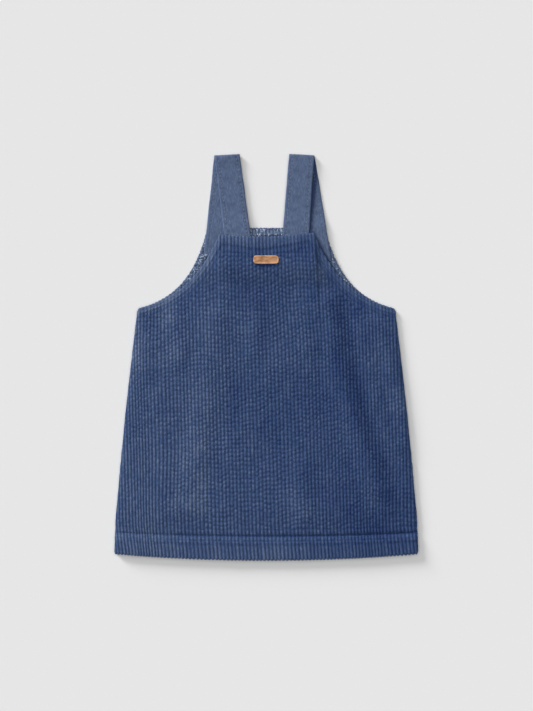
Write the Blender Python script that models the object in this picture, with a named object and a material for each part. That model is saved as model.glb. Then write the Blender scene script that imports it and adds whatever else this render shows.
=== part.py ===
"""Child's pinafore dress in wide-wale corduroy, laid flat on its back panel.

Five pieces, as a maker cuts them: front, back, two shoulder straps and a leather tab. Every cloth piece is
a closed wall between an outer and an inner grid of points. The grids follow the wales, so the front's ridges
run from hem to armhole like those of the cloth. +Y runs up the dress, +X to its right as it lies, +Z up.
"""

import math
from collections import namedtuple

import bmesh
import bpy

MM = 0.001  # every size below is in millimetres

# --- Cut of both panels -------------------------------------------------------------------------------------
HEM_Y = -224.0  # lowest point of the hem, at the centre line
HEM_RISE = 5.0  # the hem lies this much higher at HEM_RISE_X from the centre line
HEM_RISE_X = 140.0
UNDERARM_X = 141.0
UNDERARM_Y = 54.0
UNDERARM_ANGLE = math.radians(13.6)  # the armhole's slope where it meets the side seam
ARMHOLE_LOW_REACH = 48.0  # how far that slope is held

# The cloth's own width coordinate u runs across the wales. The wales fan out a little towards the hem.
FAN = 0.00029  # share of its distance from the centre line that a wale gains in each millimetre downwards
SIDE_U = 158.0  # the side seam at the hem
SIDE_LAST_U = 157.6  # last column of points, beside the hem's corner
SIDE_TAPER = 13.6  # how much narrower the panel is at the underarm
SIDE_LOW_Y = -205.0
SIDE_LENGTH = 255.0
SIDE_BEND = 1.5

# --- Cloth --------------------------------------------------------------------------------------------------
WALES = 84
WALE_HEIGHT = 0.8
WALE_SCALLOP = 0.35  # a wale reaches this far past the groove beside it, at hem and neck
FRONT_WALL = 1.9
BACK_WALL = 2.0
SEAM_GAP = 0.3
SEAM_EDGE = 1.0  # thickness of each panel right at the side seam

HEM_DEPTH = 22.0  # turned-up hem, to its row of stitches
HEM_EXTRA = 1.0  # what the second layer adds
NECK_BAND = 11.5  # turned-in top edge of the bib, to its row of stitches
ARMHOLE_BAND = 8.0
STITCH_DIP = 0.7
STITCH_HALF = 1.3  # half width of the trough that a row of stitches draws in

SIDE_ROLL = 7.0  # width over which the front curves down to the side seam
SIDE_LIFT = 3.0  # width over which the back curves up to it
EDGE_RADIUS = 1.6
EDGE_DROP = 0.7
EDGE_TUCK = 0.2
FAR = 500.0  # stands for no edge near by

# --- How the front lies on the back -------------------------------------------------------------------------
DOME = 1.6
DOME_RISE = 60.0  # distance from the hem over which the front lifts off the back
DOME_EDGE = 45.0  # the same from the armholes

STRAP_THICK = 1.6
STRAP_STACK = 2 * STRAP_THICK + 2 * SEAM_GAP  # both legs of a strap between back and front
BIB_PAD_INNER_X = 13.5
BIB_PAD_OUTER_X = 48.5
BIB_PAD_LOW_Y = 105.0
BIB_PAD_FADE = 30.0
BIB_PAD_SIDE_FADE = 24.0
BIB_PAD_CENTRE = 0.8  # share of the stack's height left at the centre line
BACK_LEG_PAD_X = 72.0
BACK_LEG_PAD_LOW_Y = 104.0

# --- Tab ----------------------------------------------------------------------------------------------------
TAB_CENTRE = (-0.3, 107.6)
TAB_SIZE = (28.6, 9.7)
TAB_CORNER = 3.3
TAB_THICK = 1.2
TAB_BEVEL = 0.4

# --- Resolution ---------------------------------------------------------------------------------------------
BACK_COLUMNS = 56
FRONT_MID_SHARES = (0.13, 0.30, 0.47, 0.62, 0.75, 0.86, 0.955)
BACK_MID_SHARES = (0.25, 0.5, 0.75)
FOLD_TURN_STEPS = 6
TAB_STEPS = 12

CORDUROY_BLUE = (0.042, 0.068, 0.143, 1.0)
STRAP_BLUE = (0.085, 0.120, 0.216, 1.0)
TAN_LEATHER = (0.47, 0.25, 0.14, 1.0)

# A panel's neck edge and the upper half of its armholes.
Panel = namedtuple("Panel", "corner_x corner_y neck_sag neck_tilt top_angle top_reach")
FRONT = Panel(corner_x=52.0, corner_y=136.2, neck_sag=3.4, neck_tilt=1.0,
              top_angle=math.radians(23.5), top_reach=45.0)
BACK = Panel(corner_x=64.5, corner_y=142.5, neck_sag=0.0, neck_tilt=0.0,
             top_angle=math.radians(14.0), top_reach=46.0)

# Soft folds of the front: ridges where height is above zero, troughs where it is below.
Fold = namedtuple("Fold", "top_x top_y low_x low_y half_width height")
FOLDS = (
    Fold(top_x=74, top_y=66, low_x=130, low_y=-192, half_width=21, height=1.5),
    Fold(top_x=97, top_y=60, low_x=152, low_y=-186, half_width=13, height=-0.9),
    Fold(top_x=112, top_y=46, low_x=152, low_y=-100, half_width=15, height=1.0),
    Fold(top_x=-50, top_y=88, low_x=-46, low_y=-165, half_width=22, height=1.0),
    Fold(top_x=-14, top_y=66, low_x=-12, low_y=0, half_width=13, height=0.6),
    Fold(top_x=42, top_y=66, low_x=40, low_y=-2, half_width=14, height=0.7),
    Fold(top_x=-108, top_y=-30, low_x=-92, low_y=-190, half_width=18, height=0.8),
)

# A strap is one band, folded over at the shoulder: its back leg is sewn inside the back, its front leg
# inside the bib. The x values are the band's centre line at the ends of its legs and at the fold.
Strap = namedtuple("Strap", "name back_x fold_x fold_y front_x")
STRAPS = (
    Strap(name="strap_left", back_x=-54.2, fold_x=-43.2, fold_y=222.66, front_x=-29.6),
    Strap(name="strap_right", back_x=56.2, fold_x=38.9, fold_y=222.8, front_x=31.1),
)
STRAP_FOLD_WIDTH = 28.0
STRAP_END_WIDTH = 29.2
STRAP_EDGE = 0.7  # bevel along the band's edges
STRAP_EDGE_SHARE = 0.35  # how much of its thickness the band keeps right at the edge
FOLD_RADIUS = 1.6  # of the band's middle, round the fold
BACK_LEG_END_Y = 112.0
FRONT_LEG_END_Y = 117.0

# Both legs between their sewn ends and the fold. The rise goes from 0, with the back leg on the floor, to 1,
# with it on the back panel. The spring is how far the front leg stands up from the back leg.
LegPoint = namedtuple("LegPoint", "y rise spring")
LEG = (
    LegPoint(y=128.0, rise=1.0, spring=0.0),
    LegPoint(y=143.8, rise=1.0, spring=0.0),
    LegPoint(y=150.0, rise=0.57, spring=0.0),
    LegPoint(y=157.0, rise=0.15, spring=0.05),
    LegPoint(y=164.0, rise=0.0, spring=0.05),
    LegPoint(y=180.0, rise=0.0, spring=0.1),
    LegPoint(y=195.0, rise=0.0, spring=0.3),
    LegPoint(y=208.0, rise=0.0, spring=0.8),
)


# --- Small helpers ------------------------------------------------------------------------------------------
def clamp(value):
    return max(0.0, min(1.0, value))


def soft_step(value):
    share = clamp(value)
    return share * share * (3.0 - 2.0 * share)


def roll(distance, radius):
    """Rise of a quarter circle: 0 at the edge, 1 from the radius inwards."""
    return math.sqrt(1.0 - (1.0 - clamp(distance / radius)) ** 2)


def mix(start, end, share):
    return start + (end - start) * share


def solve(rising, target, low, high):
    """The argument at which a rising function reaches the target."""
    for _ in range(40):
        middle = 0.5 * (low + high)
        if rising(middle) < target:
            low = middle
        else:
            high = middle
    return 0.5 * (low + high)


# --- Outline ------------------------------------------------------------------------------------------------
def fabric_x(u, y):
    return u * (1.0 - FAN * y)


def hem_y(x):
    return HEM_Y + HEM_RISE * (x / HEM_RISE_X) ** 2


def side_u(y):
    rise = max(0.0, (y - SIDE_LOW_Y) / SIDE_LENGTH)
    return min(SIDE_LAST_U, SIDE_U - SIDE_TAPER * rise ** SIDE_BEND)


def side_y(u):
    return SIDE_LOW_Y + SIDE_LENGTH * ((SIDE_U - abs(u)) / SIDE_TAPER) ** (1.0 / SIDE_BEND)


def armhole(panel, side, share):
    """Point and direction of the right armhole's edge, from the neck corner (0) to the underarm (1)."""
    corner = (panel.corner_x, panel.corner_y + side * panel.neck_tilt)
    low = (UNDERARM_X, UNDERARM_Y)
    controls = (
        corner,
        (corner[0] + panel.top_reach * math.sin(panel.top_angle),
         corner[1] - panel.top_reach * math.cos(panel.top_angle)),
        (low[0] - ARMHOLE_LOW_REACH * math.cos(UNDERARM_ANGLE),
         low[1] + ARMHOLE_LOW_REACH * math.sin(UNDERARM_ANGLE)),
        low,
    )
    rest = 1.0 - share
    weights = (rest ** 3, 3 * rest ** 2 * share, 3 * rest * share ** 2, share ** 3)
    point = [sum(w * c[axis] for w, c in zip(weights, controls)) for axis in (0, 1)]
    slopes = (rest ** 2, 2 * rest * share, share ** 2)
    steps = zip(slopes, controls, controls[1:])
    heading = [0.0, 0.0]
    for weight, start, end in steps:
        heading[0] += weight * (end[0] - start[0])
        heading[1] += weight * (end[1] - start[1])
    length = math.hypot(*heading)
    return point, (heading[0] / length, heading[1] / length)


def neck_y(panel, x):
    across = x / panel.corner_x
    return panel.corner_y - panel.neck_sag * (1.0 - across * across) + panel.neck_tilt * across


def top_edge(panel, x):
    """Height of the neck edge or armhole at x, and how much longer a step down is than one square to it."""
    if abs(x) <= panel.corner_x:
        return neck_y(panel, x), 1.0
    side = math.copysign(1.0, x)
    share = solve(lambda t: armhole(panel, side, t)[0][0], min(abs(x), UNDERARM_X), 0.0, 1.0)
    point, heading = armhole(panel, side, share)
    return point[1], 1.0 / heading[0]


def band_y(panel, x):
    """Height of the row of stitches that holds the neck band and the armhole band."""
    side = math.copysign(1.0, x)

    def inner(share):
        point, heading = armhole(panel, side, share)
        return point[0] + ARMHOLE_BAND * heading[1], point[1] - ARMHOLE_BAND * heading[0]

    across = clamp(abs(x) / panel.corner_x) * panel.corner_x
    neck_line = neck_y(panel, side * across) - NECK_BAND
    if abs(x) < inner(0.0)[0]:
        return neck_line
    share = solve(lambda t: inner(t)[0], abs(x), 0.0, 1.0)
    return min(neck_line, inner(share)[1])


def column_ends(panel, u, scallop):
    """Where the column of points at u starts and ends, and the edge's slant there, or 0 on the side seam."""
    low = HEM_Y
    high, slant = UNDERARM_Y, 1.0
    for _ in range(8):
        low = hem_y(fabric_x(u, low))
        high, slant = top_edge(panel, fabric_x(u, high))
    if high > side_y(u):
        return low, side_y(u), 0.0
    return low - scallop, high + scallop, slant


# --- Heights ------------------------------------------------------------------------------------------------
Spot = namedtuple("Spot", "x y from_hem from_top from_side dip")


def fold_height(x, y):
    total = 0.0
    for fold in FOLDS:
        along_x, along_y = fold.low_x - fold.top_x, fold.low_y - fold.top_y
        length = math.hypot(along_x, along_y)
        along = ((x - fold.top_x) * along_x + (y - fold.top_y) * along_y) / length
        aside = ((x - fold.top_x) * along_y - (y - fold.top_y) * along_x) / length
        ends = soft_step(along / fold.half_width) * soft_step((length - along) / fold.half_width)
        total += fold.height * ends * (1.0 - soft_step(abs(aside) / fold.half_width))
    return total


def strap_pad(x, y):
    """How far the strap ends under the bib hold it off the back."""
    inward = math.cos(0.5 * math.pi * clamp(abs(x) / BIB_PAD_INNER_X)) ** 2
    outward = 1.0 - soft_step((abs(x) - BIB_PAD_OUTER_X) / BIB_PAD_SIDE_FADE)
    bib = (1.0 - (1.0 - BIB_PAD_CENTRE) * inward) * outward
    bib *= STRAP_STACK * soft_step(1.0 + (y - BIB_PAD_LOW_Y) / BIB_PAD_FADE)
    leg = 1.0 - soft_step((abs(x) - BACK_LEG_PAD_X) / BIB_PAD_SIDE_FADE)
    leg *= 0.5 * STRAP_STACK * soft_step(1.0 + (y - BACK_LEG_PAD_LOW_Y) / BIB_PAD_FADE)
    return (bib ** 4 + leg ** 4) ** 0.25


def hem_layer(from_hem):
    return 1.0 - soft_step((from_hem - HEM_DEPTH + STITCH_HALF) / (2 * STITCH_HALF))


def back_inner(spot):
    return BACK_WALL + HEM_EXTRA * hem_layer(spot.from_hem)


def back_heights(spot):
    """Under and upper side of the back panel."""
    side = 1.0 - roll(spot.from_side, SIDE_LIFT)
    edge = 1.0 - roll(min(spot.from_hem, spot.from_top), EDGE_RADIUS)
    under = max((BACK_WALL - SEAM_EDGE) * side, EDGE_DROP * edge)
    return under, back_inner(spot) - EDGE_TUCK * edge


def front_inner(spot):
    across = 1.0 - clamp(abs(spot.x) / UNDERARM_X) ** 4
    upward = mix(0.15, 1.0, soft_step(spot.from_hem / DOME_RISE))
    downward = soft_step(spot.from_top / DOME_EDGE)
    lift = DOME * across * upward * downward
    lift += fold_height(spot.x, spot.y) * soft_step(spot.from_hem / DOME_RISE)
    return back_inner(spot) + SEAM_GAP + max(0.0, lift) + strap_pad(spot.x, spot.y)


def front_heights(spot, crest):
    """Inner and outer side of the front panel; crest is 1 on a wale and 0 beside it."""
    seam = back_inner(spot) + SEAM_GAP
    turn = roll(spot.from_side, SIDE_ROLL)
    edge = 1.0 - roll(min(spot.from_hem, spot.from_top), EDGE_RADIUS)
    inner = front_inner(spot)
    outer = inner + FRONT_WALL + HEM_EXTRA * hem_layer(spot.from_hem) + WALE_HEIGHT * crest - spot.dip
    inner = mix(seam, inner, turn) + EDGE_TUCK * edge
    outer = mix(seam + SEAM_EDGE, outer, turn) - EDGE_DROP * edge
    return inner, outer


def tab_seat(x, y):
    """Height of the wale crests under the tab."""
    spot = Spot(x=x, y=y, from_hem=y - HEM_Y, from_top=neck_y(FRONT, x) - y, from_side=FAR, dip=0.0)
    return front_heights(spot, crest=1.0)[1]


# --- Grids --------------------------------------------------------------------------------------------------
def column_spots(panel, u, mid_shares, stitched, scallop=0.0):
    """The points of one column of a panel, from hem to neck, armhole or side seam."""
    low, high, slant = column_ends(panel, u, scallop)
    on_side = slant == 0.0
    slant = slant or 1.0
    edge_steps = (0.0, 0.6 * EDGE_RADIUS, 1.5 * EDGE_RADIUS)
    heights = [(low + step, 0.0) for step in edge_steps]
    hem_line = low + scallop + HEM_DEPTH
    heights += [(hem_line - STITCH_HALF, 0.0)]
    if stitched:
        heights += [(hem_line, STITCH_DIP)]
    heights += [(hem_line + STITCH_HALF, 0.0)]
    bands = []
    if stitched:
        line = high - ARMHOLE_BAND if on_side else band_y(panel, fabric_x(u, high))
        dip = 0.0 if on_side else STITCH_DIP
        half = STITCH_HALF * slant
        bands = [(line - half, 0.0), (line, dip), (line + half, 0.0)]
    tops = [(high - step * slant, 0.0) for step in reversed(edge_steps)]
    start, end = heights[-1][0], (bands + tops)[0][0]
    heights += [(mix(start, end, share), 0.0) for share in mid_shares]
    return [
        Spot(
            x=fabric_x(u, y),
            y=y,
            from_hem=y - low,
            from_top=FAR if on_side else (high - y) / slant,
            from_side=max(0.0, side_u(y) - abs(u)),
            dip=dip,
        )
        for y, dip in heights + bands + tops
    ]


def spread(count):
    """The u values of a panel's columns."""
    return [SIDE_LAST_U * (2.0 * index / count - 1.0) for index in range(count + 1)]


def rows_of(columns):
    """Turns a list of columns of points into a list of rows."""
    return [list(row) for row in zip(*columns)]


def cloth_wall(name, outer, inner, colour, roughness):
    """One closed wall between two grids of points. The outer one may be some whole number of times finer."""
    mesh = bmesh.new()
    top = [[mesh.verts.new([MM * value for value in point]) for point in row] for row in outer]
    under = [[mesh.verts.new([MM * value for value in point]) for point in row] for row in inner]
    for grid in (top, under):
        for row, following in zip(grid, grid[1:]):
            for index in range(len(row) - 1):
                mesh.faces.new((row[index], row[index + 1], following[index + 1], following[index]))
    for index in range(len(top) - 1):
        for side in (0, -1):
            mesh.faces.new((top[index][side], top[index + 1][side], under[index + 1][side], under[index][side]))
    finer = (len(top[0]) - 1) // (len(under[0]) - 1)
    for end in (0, -1):
        for index in range(len(under[0]) - 1):
            strip = top[end][index * finer:(index + 1) * finer + 1]
            mesh.faces.new(strip + [under[end][index + 1], under[end][index]])
    bmesh.ops.recalc_face_normals(mesh, faces=mesh.faces)
    data = bpy.data.meshes.new(name)
    mesh.to_mesh(data)
    mesh.free()
    data.shade_smooth()
    data.set_sharp_from_angle(angle=math.radians(50))
    data.materials.append(cloth_material(name, colour, roughness))
    piece = bpy.data.objects.new(name, data)
    bpy.data.collections["pinafore_dress"].objects.link(piece)
    return piece


def cloth_material(name, colour, roughness):
    material = bpy.data.materials.new(name)
    material.use_nodes = True
    shader = material.node_tree.nodes["Principled BSDF"]
    shader.inputs["Base Color"].default_value = colour
    shader.inputs["Roughness"].default_value = roughness
    shader.inputs["Metallic"].default_value = 0.0
    return material


# --- Pieces -------------------------------------------------------------------------------------------------
def make_front():
    outer, inner = [], []
    for index, u in enumerate(spread(2 * WALES)):
        crest = index % 2
        spots = column_spots(FRONT, u, FRONT_MID_SHARES, True, WALE_SCALLOP * crest)
        outer.append([(s.x, s.y, front_heights(s, crest)[1]) for s in spots])
        if not crest:
            inner.append([(s.x, s.y, front_heights(s, crest)[0]) for s in spots])
    return cloth_wall("front_panel", rows_of(outer), rows_of(inner), CORDUROY_BLUE, 0.9)


def make_back():
    under, upper = [], []
    for u in spread(BACK_COLUMNS):
        spots = column_spots(BACK, u, BACK_MID_SHARES, False)
        under.append([(s.x, s.y, back_heights(s)[0]) for s in spots])
        upper.append([(s.x, s.y, back_heights(s)[1]) for s in spots])
    return cloth_wall("back_panel", rows_of(under), rows_of(upper), CORDUROY_BLUE, 0.9)


def strap_path(strap):
    """Stations along the band: centre, direction across it, direction out of its outer face, half width."""
    stations = []

    def add(x, y, z, lean, tilt):
        across = (math.cos(lean), -math.sin(lean), 0.0)
        outward = (math.sin(tilt) * math.sin(lean), math.sin(tilt) * math.cos(lean), -math.cos(tilt))
        down = (strap.fold_y - y) / (strap.fold_y - BACK_LEG_END_Y)
        stations.append(((x, y, z), across, outward, 0.5 * mix(STRAP_FOLD_WIDTH, STRAP_END_WIDTH, down)))

    def lean_of(end_x, end_y):
        return math.atan2(strap.fold_x - end_x, strap.fold_y - end_y)

    def add_leg(points, end_x, end_y, lift, tilt):
        for point in points:
            x = mix(end_x, strap.fold_x, (point.y - end_y) / (strap.fold_y - end_y))
            add(x, point.y, lift(point), lean_of(end_x, end_y), tilt)

    def back_lift(point):
        return 0.5 * STRAP_THICK + point.rise * (BACK_WALL + SEAM_GAP)

    def front_lift(point):
        return back_lift(point) + STRAP_THICK + SEAM_GAP + point.spring

    back_points = (LEG[0]._replace(y=BACK_LEG_END_Y),) + LEG
    add_leg(back_points, strap.back_x, BACK_LEG_END_Y, back_lift, 0.0)
    front_lean = lean_of(strap.front_x, FRONT_LEG_END_Y)
    turn_y = strap.fold_y - FOLD_RADIUS - 0.5 * STRAP_THICK
    for step in range(FOLD_TURN_STEPS + 1):
        tilt = math.pi * step / FOLD_TURN_STEPS
        reach = FOLD_RADIUS * math.sin(tilt)
        x = strap.fold_x + reach * math.sin(front_lean)
        y = turn_y + reach * math.cos(front_lean)
        add(x, y, 0.5 * STRAP_THICK + FOLD_RADIUS * (1.0 - math.cos(tilt)), front_lean, tilt)
    front_points = (LEG[0]._replace(y=FRONT_LEG_END_Y),) + LEG
    add_leg(reversed(front_points), strap.front_x, FRONT_LEG_END_Y, front_lift, math.pi)
    return stations


def make_strap(strap):
    half = 0.5 * STRAP_THICK
    outer, inner = [], []
    for centre, across, outward, half_width in strap_path(strap):
        section = (
            (-half_width, STRAP_EDGE_SHARE * half),
            (STRAP_EDGE - half_width, half),
            (half_width - STRAP_EDGE, half),
            (half_width, STRAP_EDGE_SHARE * half),
        )
        for grid, sign in ((outer, 1.0), (inner, -1.0)):
            grid.append([
                [centre[axis] + aside * across[axis] + sign * height * outward[axis] for axis in range(3)]
                for aside, height in section
            ])
    return cloth_wall(strap.name, outer, inner, STRAP_BLUE, 0.85)


def make_tab():
    outer, inner = [], []
    length, width = TAB_SIZE
    for step in range(TAB_STEPS + 1):
        # Stations close up towards the rounded ends.
        along = 0.5 * length * math.sin(math.pi * (step / TAB_STEPS - 0.5))
        into_corner = max(0.0, abs(along) - 0.5 * length + TAB_CORNER)
        half = 0.5 * width - TAB_CORNER + math.sqrt(max(0.0, TAB_CORNER ** 2 - into_corner ** 2))
        end = 1.0 if step in (0, TAB_STEPS) else 0.0
        rims = ((-half, 1.0), (TAB_BEVEL - half, end), (0.0, end), (half - TAB_BEVEL, end), (half, 1.0))
        upper, lower = [], []
        for aside, rim in rims:
            x, y = TAB_CENTRE[0] + along, TAB_CENTRE[1] + aside
            seat = tab_seat(x, y) + SEAM_GAP
            upper.append((x, y, seat + TAB_THICK - TAB_BEVEL * rim))
            lower.append((x, y, seat))
        outer.append(upper)
        inner.append(lower)
    return cloth_wall("label_tab", outer, inner, TAN_LEATHER, 0.6)


def main():
    for old in list(bpy.data.objects):
        bpy.data.objects.remove(old, do_unlink=True)
    parts = bpy.data.collections.new("pinafore_dress")
    bpy.context.scene.collection.children.link(parts)
    make_back()
    make_front()
    for strap in STRAPS:
        make_strap(strap)
    make_tab()


main()
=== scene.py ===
# %% [markdown]
# # A child's pinafore dress in wide-wale corduroy, laid flat
#
# The dress is five sewn pieces: a front and a back of corduroy, two twill shoulder straps and a small
# leather tab. Each has a plain solid in the frame. This lesson dresses those solids: every piece gets a
# finer mesh of the same cut, in the same place, with its ridges, seams and stitches as real relief.
# All sizes are in millimetres until a mesh is made. +Y runs up the dress and +Z is up from the table.

# %% The frame
import math
from collections import namedtuple

import bmesh
import bpy
import numpy as np
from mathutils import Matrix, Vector
from mathutils.bvhtree import BVHTree


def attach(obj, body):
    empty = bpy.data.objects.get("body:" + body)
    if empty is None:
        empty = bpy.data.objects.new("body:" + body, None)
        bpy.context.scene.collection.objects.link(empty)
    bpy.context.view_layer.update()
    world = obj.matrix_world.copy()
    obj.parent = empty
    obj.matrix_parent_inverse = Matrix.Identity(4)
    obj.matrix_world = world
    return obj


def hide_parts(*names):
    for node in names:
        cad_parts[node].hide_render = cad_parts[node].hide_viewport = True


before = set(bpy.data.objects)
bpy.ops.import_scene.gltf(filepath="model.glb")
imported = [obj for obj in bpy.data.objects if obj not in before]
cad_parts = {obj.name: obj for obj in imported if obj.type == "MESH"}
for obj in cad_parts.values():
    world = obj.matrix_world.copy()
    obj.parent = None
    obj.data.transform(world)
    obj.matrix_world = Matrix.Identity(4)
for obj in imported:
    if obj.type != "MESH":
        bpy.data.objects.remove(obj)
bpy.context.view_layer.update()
MM = 0.001
print("solids:", ", ".join(sorted(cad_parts)))

# %% [markdown]
# ## The cut
#
# A dressmaker's pattern is a few curves: a gently rising hem, slanting sides, a curved armhole and a neck
# edge. They could be drawn as splines by hand, but formulas are easier to fit to each other, and the grid of
# points that follows them can be as fine as the cloth needs.

# %% Sizes of the cut
HEM_Y, HEM_RISE, HEM_RISE_X = -224.0, 5.0, 140.0
UNDERARM_X, UNDERARM_Y = 141.0, 54.0
UNDERARM_ANGLE = math.radians(13.6)
ARMHOLE_LOW_REACH = 48.0
SEAM_FAN = 0.00029
SIDE_U = 158.0
LAST_U = 157.6
SIDE_TAPER = 13.6
SIDE_LOW_Y = -205.0
SIDE_LENGTH = 255.0
SIDE_BEND = 1.5
SIDE_WAVER = 0.25
HEM_TUCK = 0.6
CORNER = 3.0  # the hem's and underarm's corners are turned, so they are round

Panel = namedtuple("Panel", "corner_x corner_y neck_sag neck_tilt top_angle top_reach")
FRONT = Panel(corner_x=52.0, corner_y=136.2, neck_sag=3.4, neck_tilt=1.0,
              top_angle=math.radians(23.5), top_reach=45.0)
BACK = Panel(corner_x=64.5, corner_y=142.5, neck_sag=0.0, neck_tilt=0.0,
             top_angle=math.radians(14.0), top_reach=46.0)


# %% Small helpers that work on whole arrays
def soft_step(value):
    share = np.clip(value, 0.0, 1.0)
    return share * share * (3.0 - 2.0 * share)


def fade(value):
    """1 up to 0, falling softly to 0 at 1."""
    return 1.0 - soft_step(value)


def hump(value):
    """1 in the middle, falling softly to 0 at -1 and 1."""
    return fade(np.abs(value))


def roll(distance, radius):
    """Rise of a quarter circle: 0 at an edge, 1 from the radius inwards."""
    return np.sqrt(1.0 - (1.0 - np.clip(distance / radius, 0.0, 1.0)) ** 2)


def mix(start, end, share):
    return start + (end - start) * share


def solve(rising, target):
    """The shares from 0 to 1 at which a rising function reaches the targets."""
    low, high = np.zeros_like(target), np.ones_like(target)
    for _ in range(40):
        middle = 0.5 * (low + high)
        under = rising(middle) < target
        low, high = np.where(under, middle, low), np.where(under, high, middle)
    return 0.5 * (low + high)


def drift(seed, across, along):
    """Smooth unevenness from -1 to 1, with about one hill or hollow in each unit. The seed fixes it."""
    table = np.random.default_rng(seed).uniform(-1.0, 1.0, (97, 89))
    across, along = np.broadcast_arrays(across, along)
    i, j = np.floor(across).astype(int), np.floor(along).astype(int)
    over, up = soft_step(across - i), soft_step(along - j)
    near, far = (mix(table[i % 97, k % 89], table[(i + 1) % 97, k % 89], over) for k in (j, j + 1))
    return mix(near, far, up)


# %% Edges of a panel
def side_x(y):
    """Distance of the side seam from the middle."""
    rise = np.maximum(0.0, (y - SIDE_LOW_Y) / SIDE_LENGTH)
    straight = np.minimum(LAST_U, SIDE_U - SIDE_TAPER * rise ** SIDE_BEND) * (1.0 - SEAM_FAN * y)
    return straight + SIDE_WAVER * drift(29, 0.0, y / 5.2)


def hem_y(x):
    return HEM_Y + HEM_RISE * (x / HEM_RISE_X) ** 2


def neck_y(panel, x):
    across = x / panel.corner_x
    return panel.corner_y - panel.neck_sag * (1.0 - across * across) + panel.neck_tilt * across


def armhole(panel, side, share):
    """The right armhole's edge from the neck corner (0) to the underarm (1): x, y and its direction."""
    corner_y = panel.corner_y + side * panel.neck_tilt
    xs = (panel.corner_x, panel.corner_x + panel.top_reach * math.sin(panel.top_angle),
          UNDERARM_X - ARMHOLE_LOW_REACH * math.cos(UNDERARM_ANGLE), UNDERARM_X)
    ys = (corner_y, corner_y - panel.top_reach * math.cos(panel.top_angle),
          UNDERARM_Y + ARMHOLE_LOW_REACH * math.sin(UNDERARM_ANGLE), UNDERARM_Y)
    rest = 1.0 - share
    weights = (rest ** 3, 3 * rest ** 2 * share, 3 * rest * share ** 2, share ** 3)
    slopes = (rest ** 2, 2 * rest * share, share ** 2)
    x, y = (sum(w * c for w, c in zip(weights, ends)) for ends in (xs, ys))
    run, rise = (sum(w * (b - a) for w, a, b in zip(slopes, ends, ends[1:])) for ends in (xs, ys))
    length = np.hypot(run, rise)
    return x, y, run / length, rise / length


def top_edge(panel, x):
    """Height of the neck edge or armhole at x, and how much longer a step down is than one square to it."""
    side, across = np.sign(x), np.abs(x)
    share = solve(lambda t: armhole(panel, side, t)[0], np.minimum(across, UNDERARM_X))
    _, y, run, _ = armhole(panel, side, share)
    on_neck = across <= panel.corner_x
    return np.where(on_neck, neck_y(panel, x), y), np.where(on_neck, 1.0, 1.0 / run)


print("front is", round(2 * float(side_x(HEM_Y)), 1), "mm wide at the hem")

# %% [markdown]
# ## Where the stitches run
#
# The hem is turned up and held by a row of stitches that runs straighter than the hem's edge does. The bib's
# band dips in the middle, and the armhole's band keeps its width.

# %% Rows of stitches
HEM_LINE_Y, HEM_LINE_RISE, HEM_LINE_RISE_X = -194.9, 3.6, 154.0
NECK_BAND = 11.0
NECK_BAND_DIP, NECK_BAND_DIP_X, NECK_BAND_DIP_HALF = 3.0, -6.0, 36.0
NECK_BAND_LIFT, NECK_BAND_LIFT_X = 2.0, 20.0  # on the right, from here, the band gets narrower by this
ARMHOLE_BAND = 7.5
HEM_SLOPE = 9.0  # below the stitches the hem fills out to its two layers over this much


def hem_line_y(x):
    return HEM_LINE_Y + HEM_LINE_RISE * (x / HEM_LINE_RISE_X) ** 2


def neck_line_y(x):
    depth = NECK_BAND + NECK_BAND_DIP * hump((x - NECK_BAND_DIP_X) / NECK_BAND_DIP_HALF)
    depth = depth - NECK_BAND_LIFT * soft_step((x - NECK_BAND_LIFT_X) / 25.0)
    return neck_y(FRONT, np.clip(x, -FRONT.corner_x, FRONT.corner_x)) - depth


def inner_line(panel, side, share, inset):
    """The line that runs inside the armhole's edge at a fixed distance."""
    x, y, run, rise = armhole(panel, side, share)
    return x + inset * rise, y - inset * run


def band_y(x):
    """Height of the stitches that hold the front's neck band and armhole bands."""
    side, across = np.sign(x), np.abs(x)
    share = solve(lambda t: inner_line(FRONT, side, t, ARMHOLE_BAND)[0], across)
    beside = inner_line(FRONT, side, share, ARMHOLE_BAND)[1]
    start = inner_line(FRONT, side, np.zeros_like(x), ARMHOLE_BAND)[0]
    return np.where(across < start, neck_line_y(x), np.minimum(neck_line_y(x), beside))


# %% [markdown]
# ## How the layers lie
#
# The back lies on the table. The front lies on it, held off by the two legs of each strap under the bib. One
# pair of formulas gives the back's inner side and the front's, so the layers can't cut into each other. A
# cloth simulation could drape the front too, but it would lose the exact cut, and folds listed one by one can
# have the size and place of the real ones: soft swells a hand wide, which a dress keeps from its hanger.

# %% Sizes of the layers
FRONT_WALL, BACK_WALL = 1.9, 2.0
SEAM_GAP = 0.3
SEAM_EDGE = 1.4
HEM_EXTRA = 1.0
SIDE_ROLL, SIDE_LIFT = 6.0, 3.0
EDGE_RADIUS, EDGE_DROP, EDGE_TUCK = 2.6, 1.3, 0.3
DOME, DOME_SIDE, DOME_RISE, DOME_EDGE = 3.0, 75.0, 60.0, 45.0
DOME_CURVE, DOME_AT_HEM = 2.5, 0.15
STRAP_THICK = 1.6
STRAP_STACK = 2 * STRAP_THICK + 2 * SEAM_GAP
BIB_PAD_INNER_X, BIB_PAD_OUTER_X, BIB_PAD_LOW_Y = 13.5, 48.5, 105.0
BIB_PAD_FADE, BIB_PAD_SIDE_FADE, BIB_PAD_CENTRE = 30.0, 24.0, 0.8
BACK_LEG_PAD_X, BACK_LEG_PAD_LOW_Y = 72.0, 104.0

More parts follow.
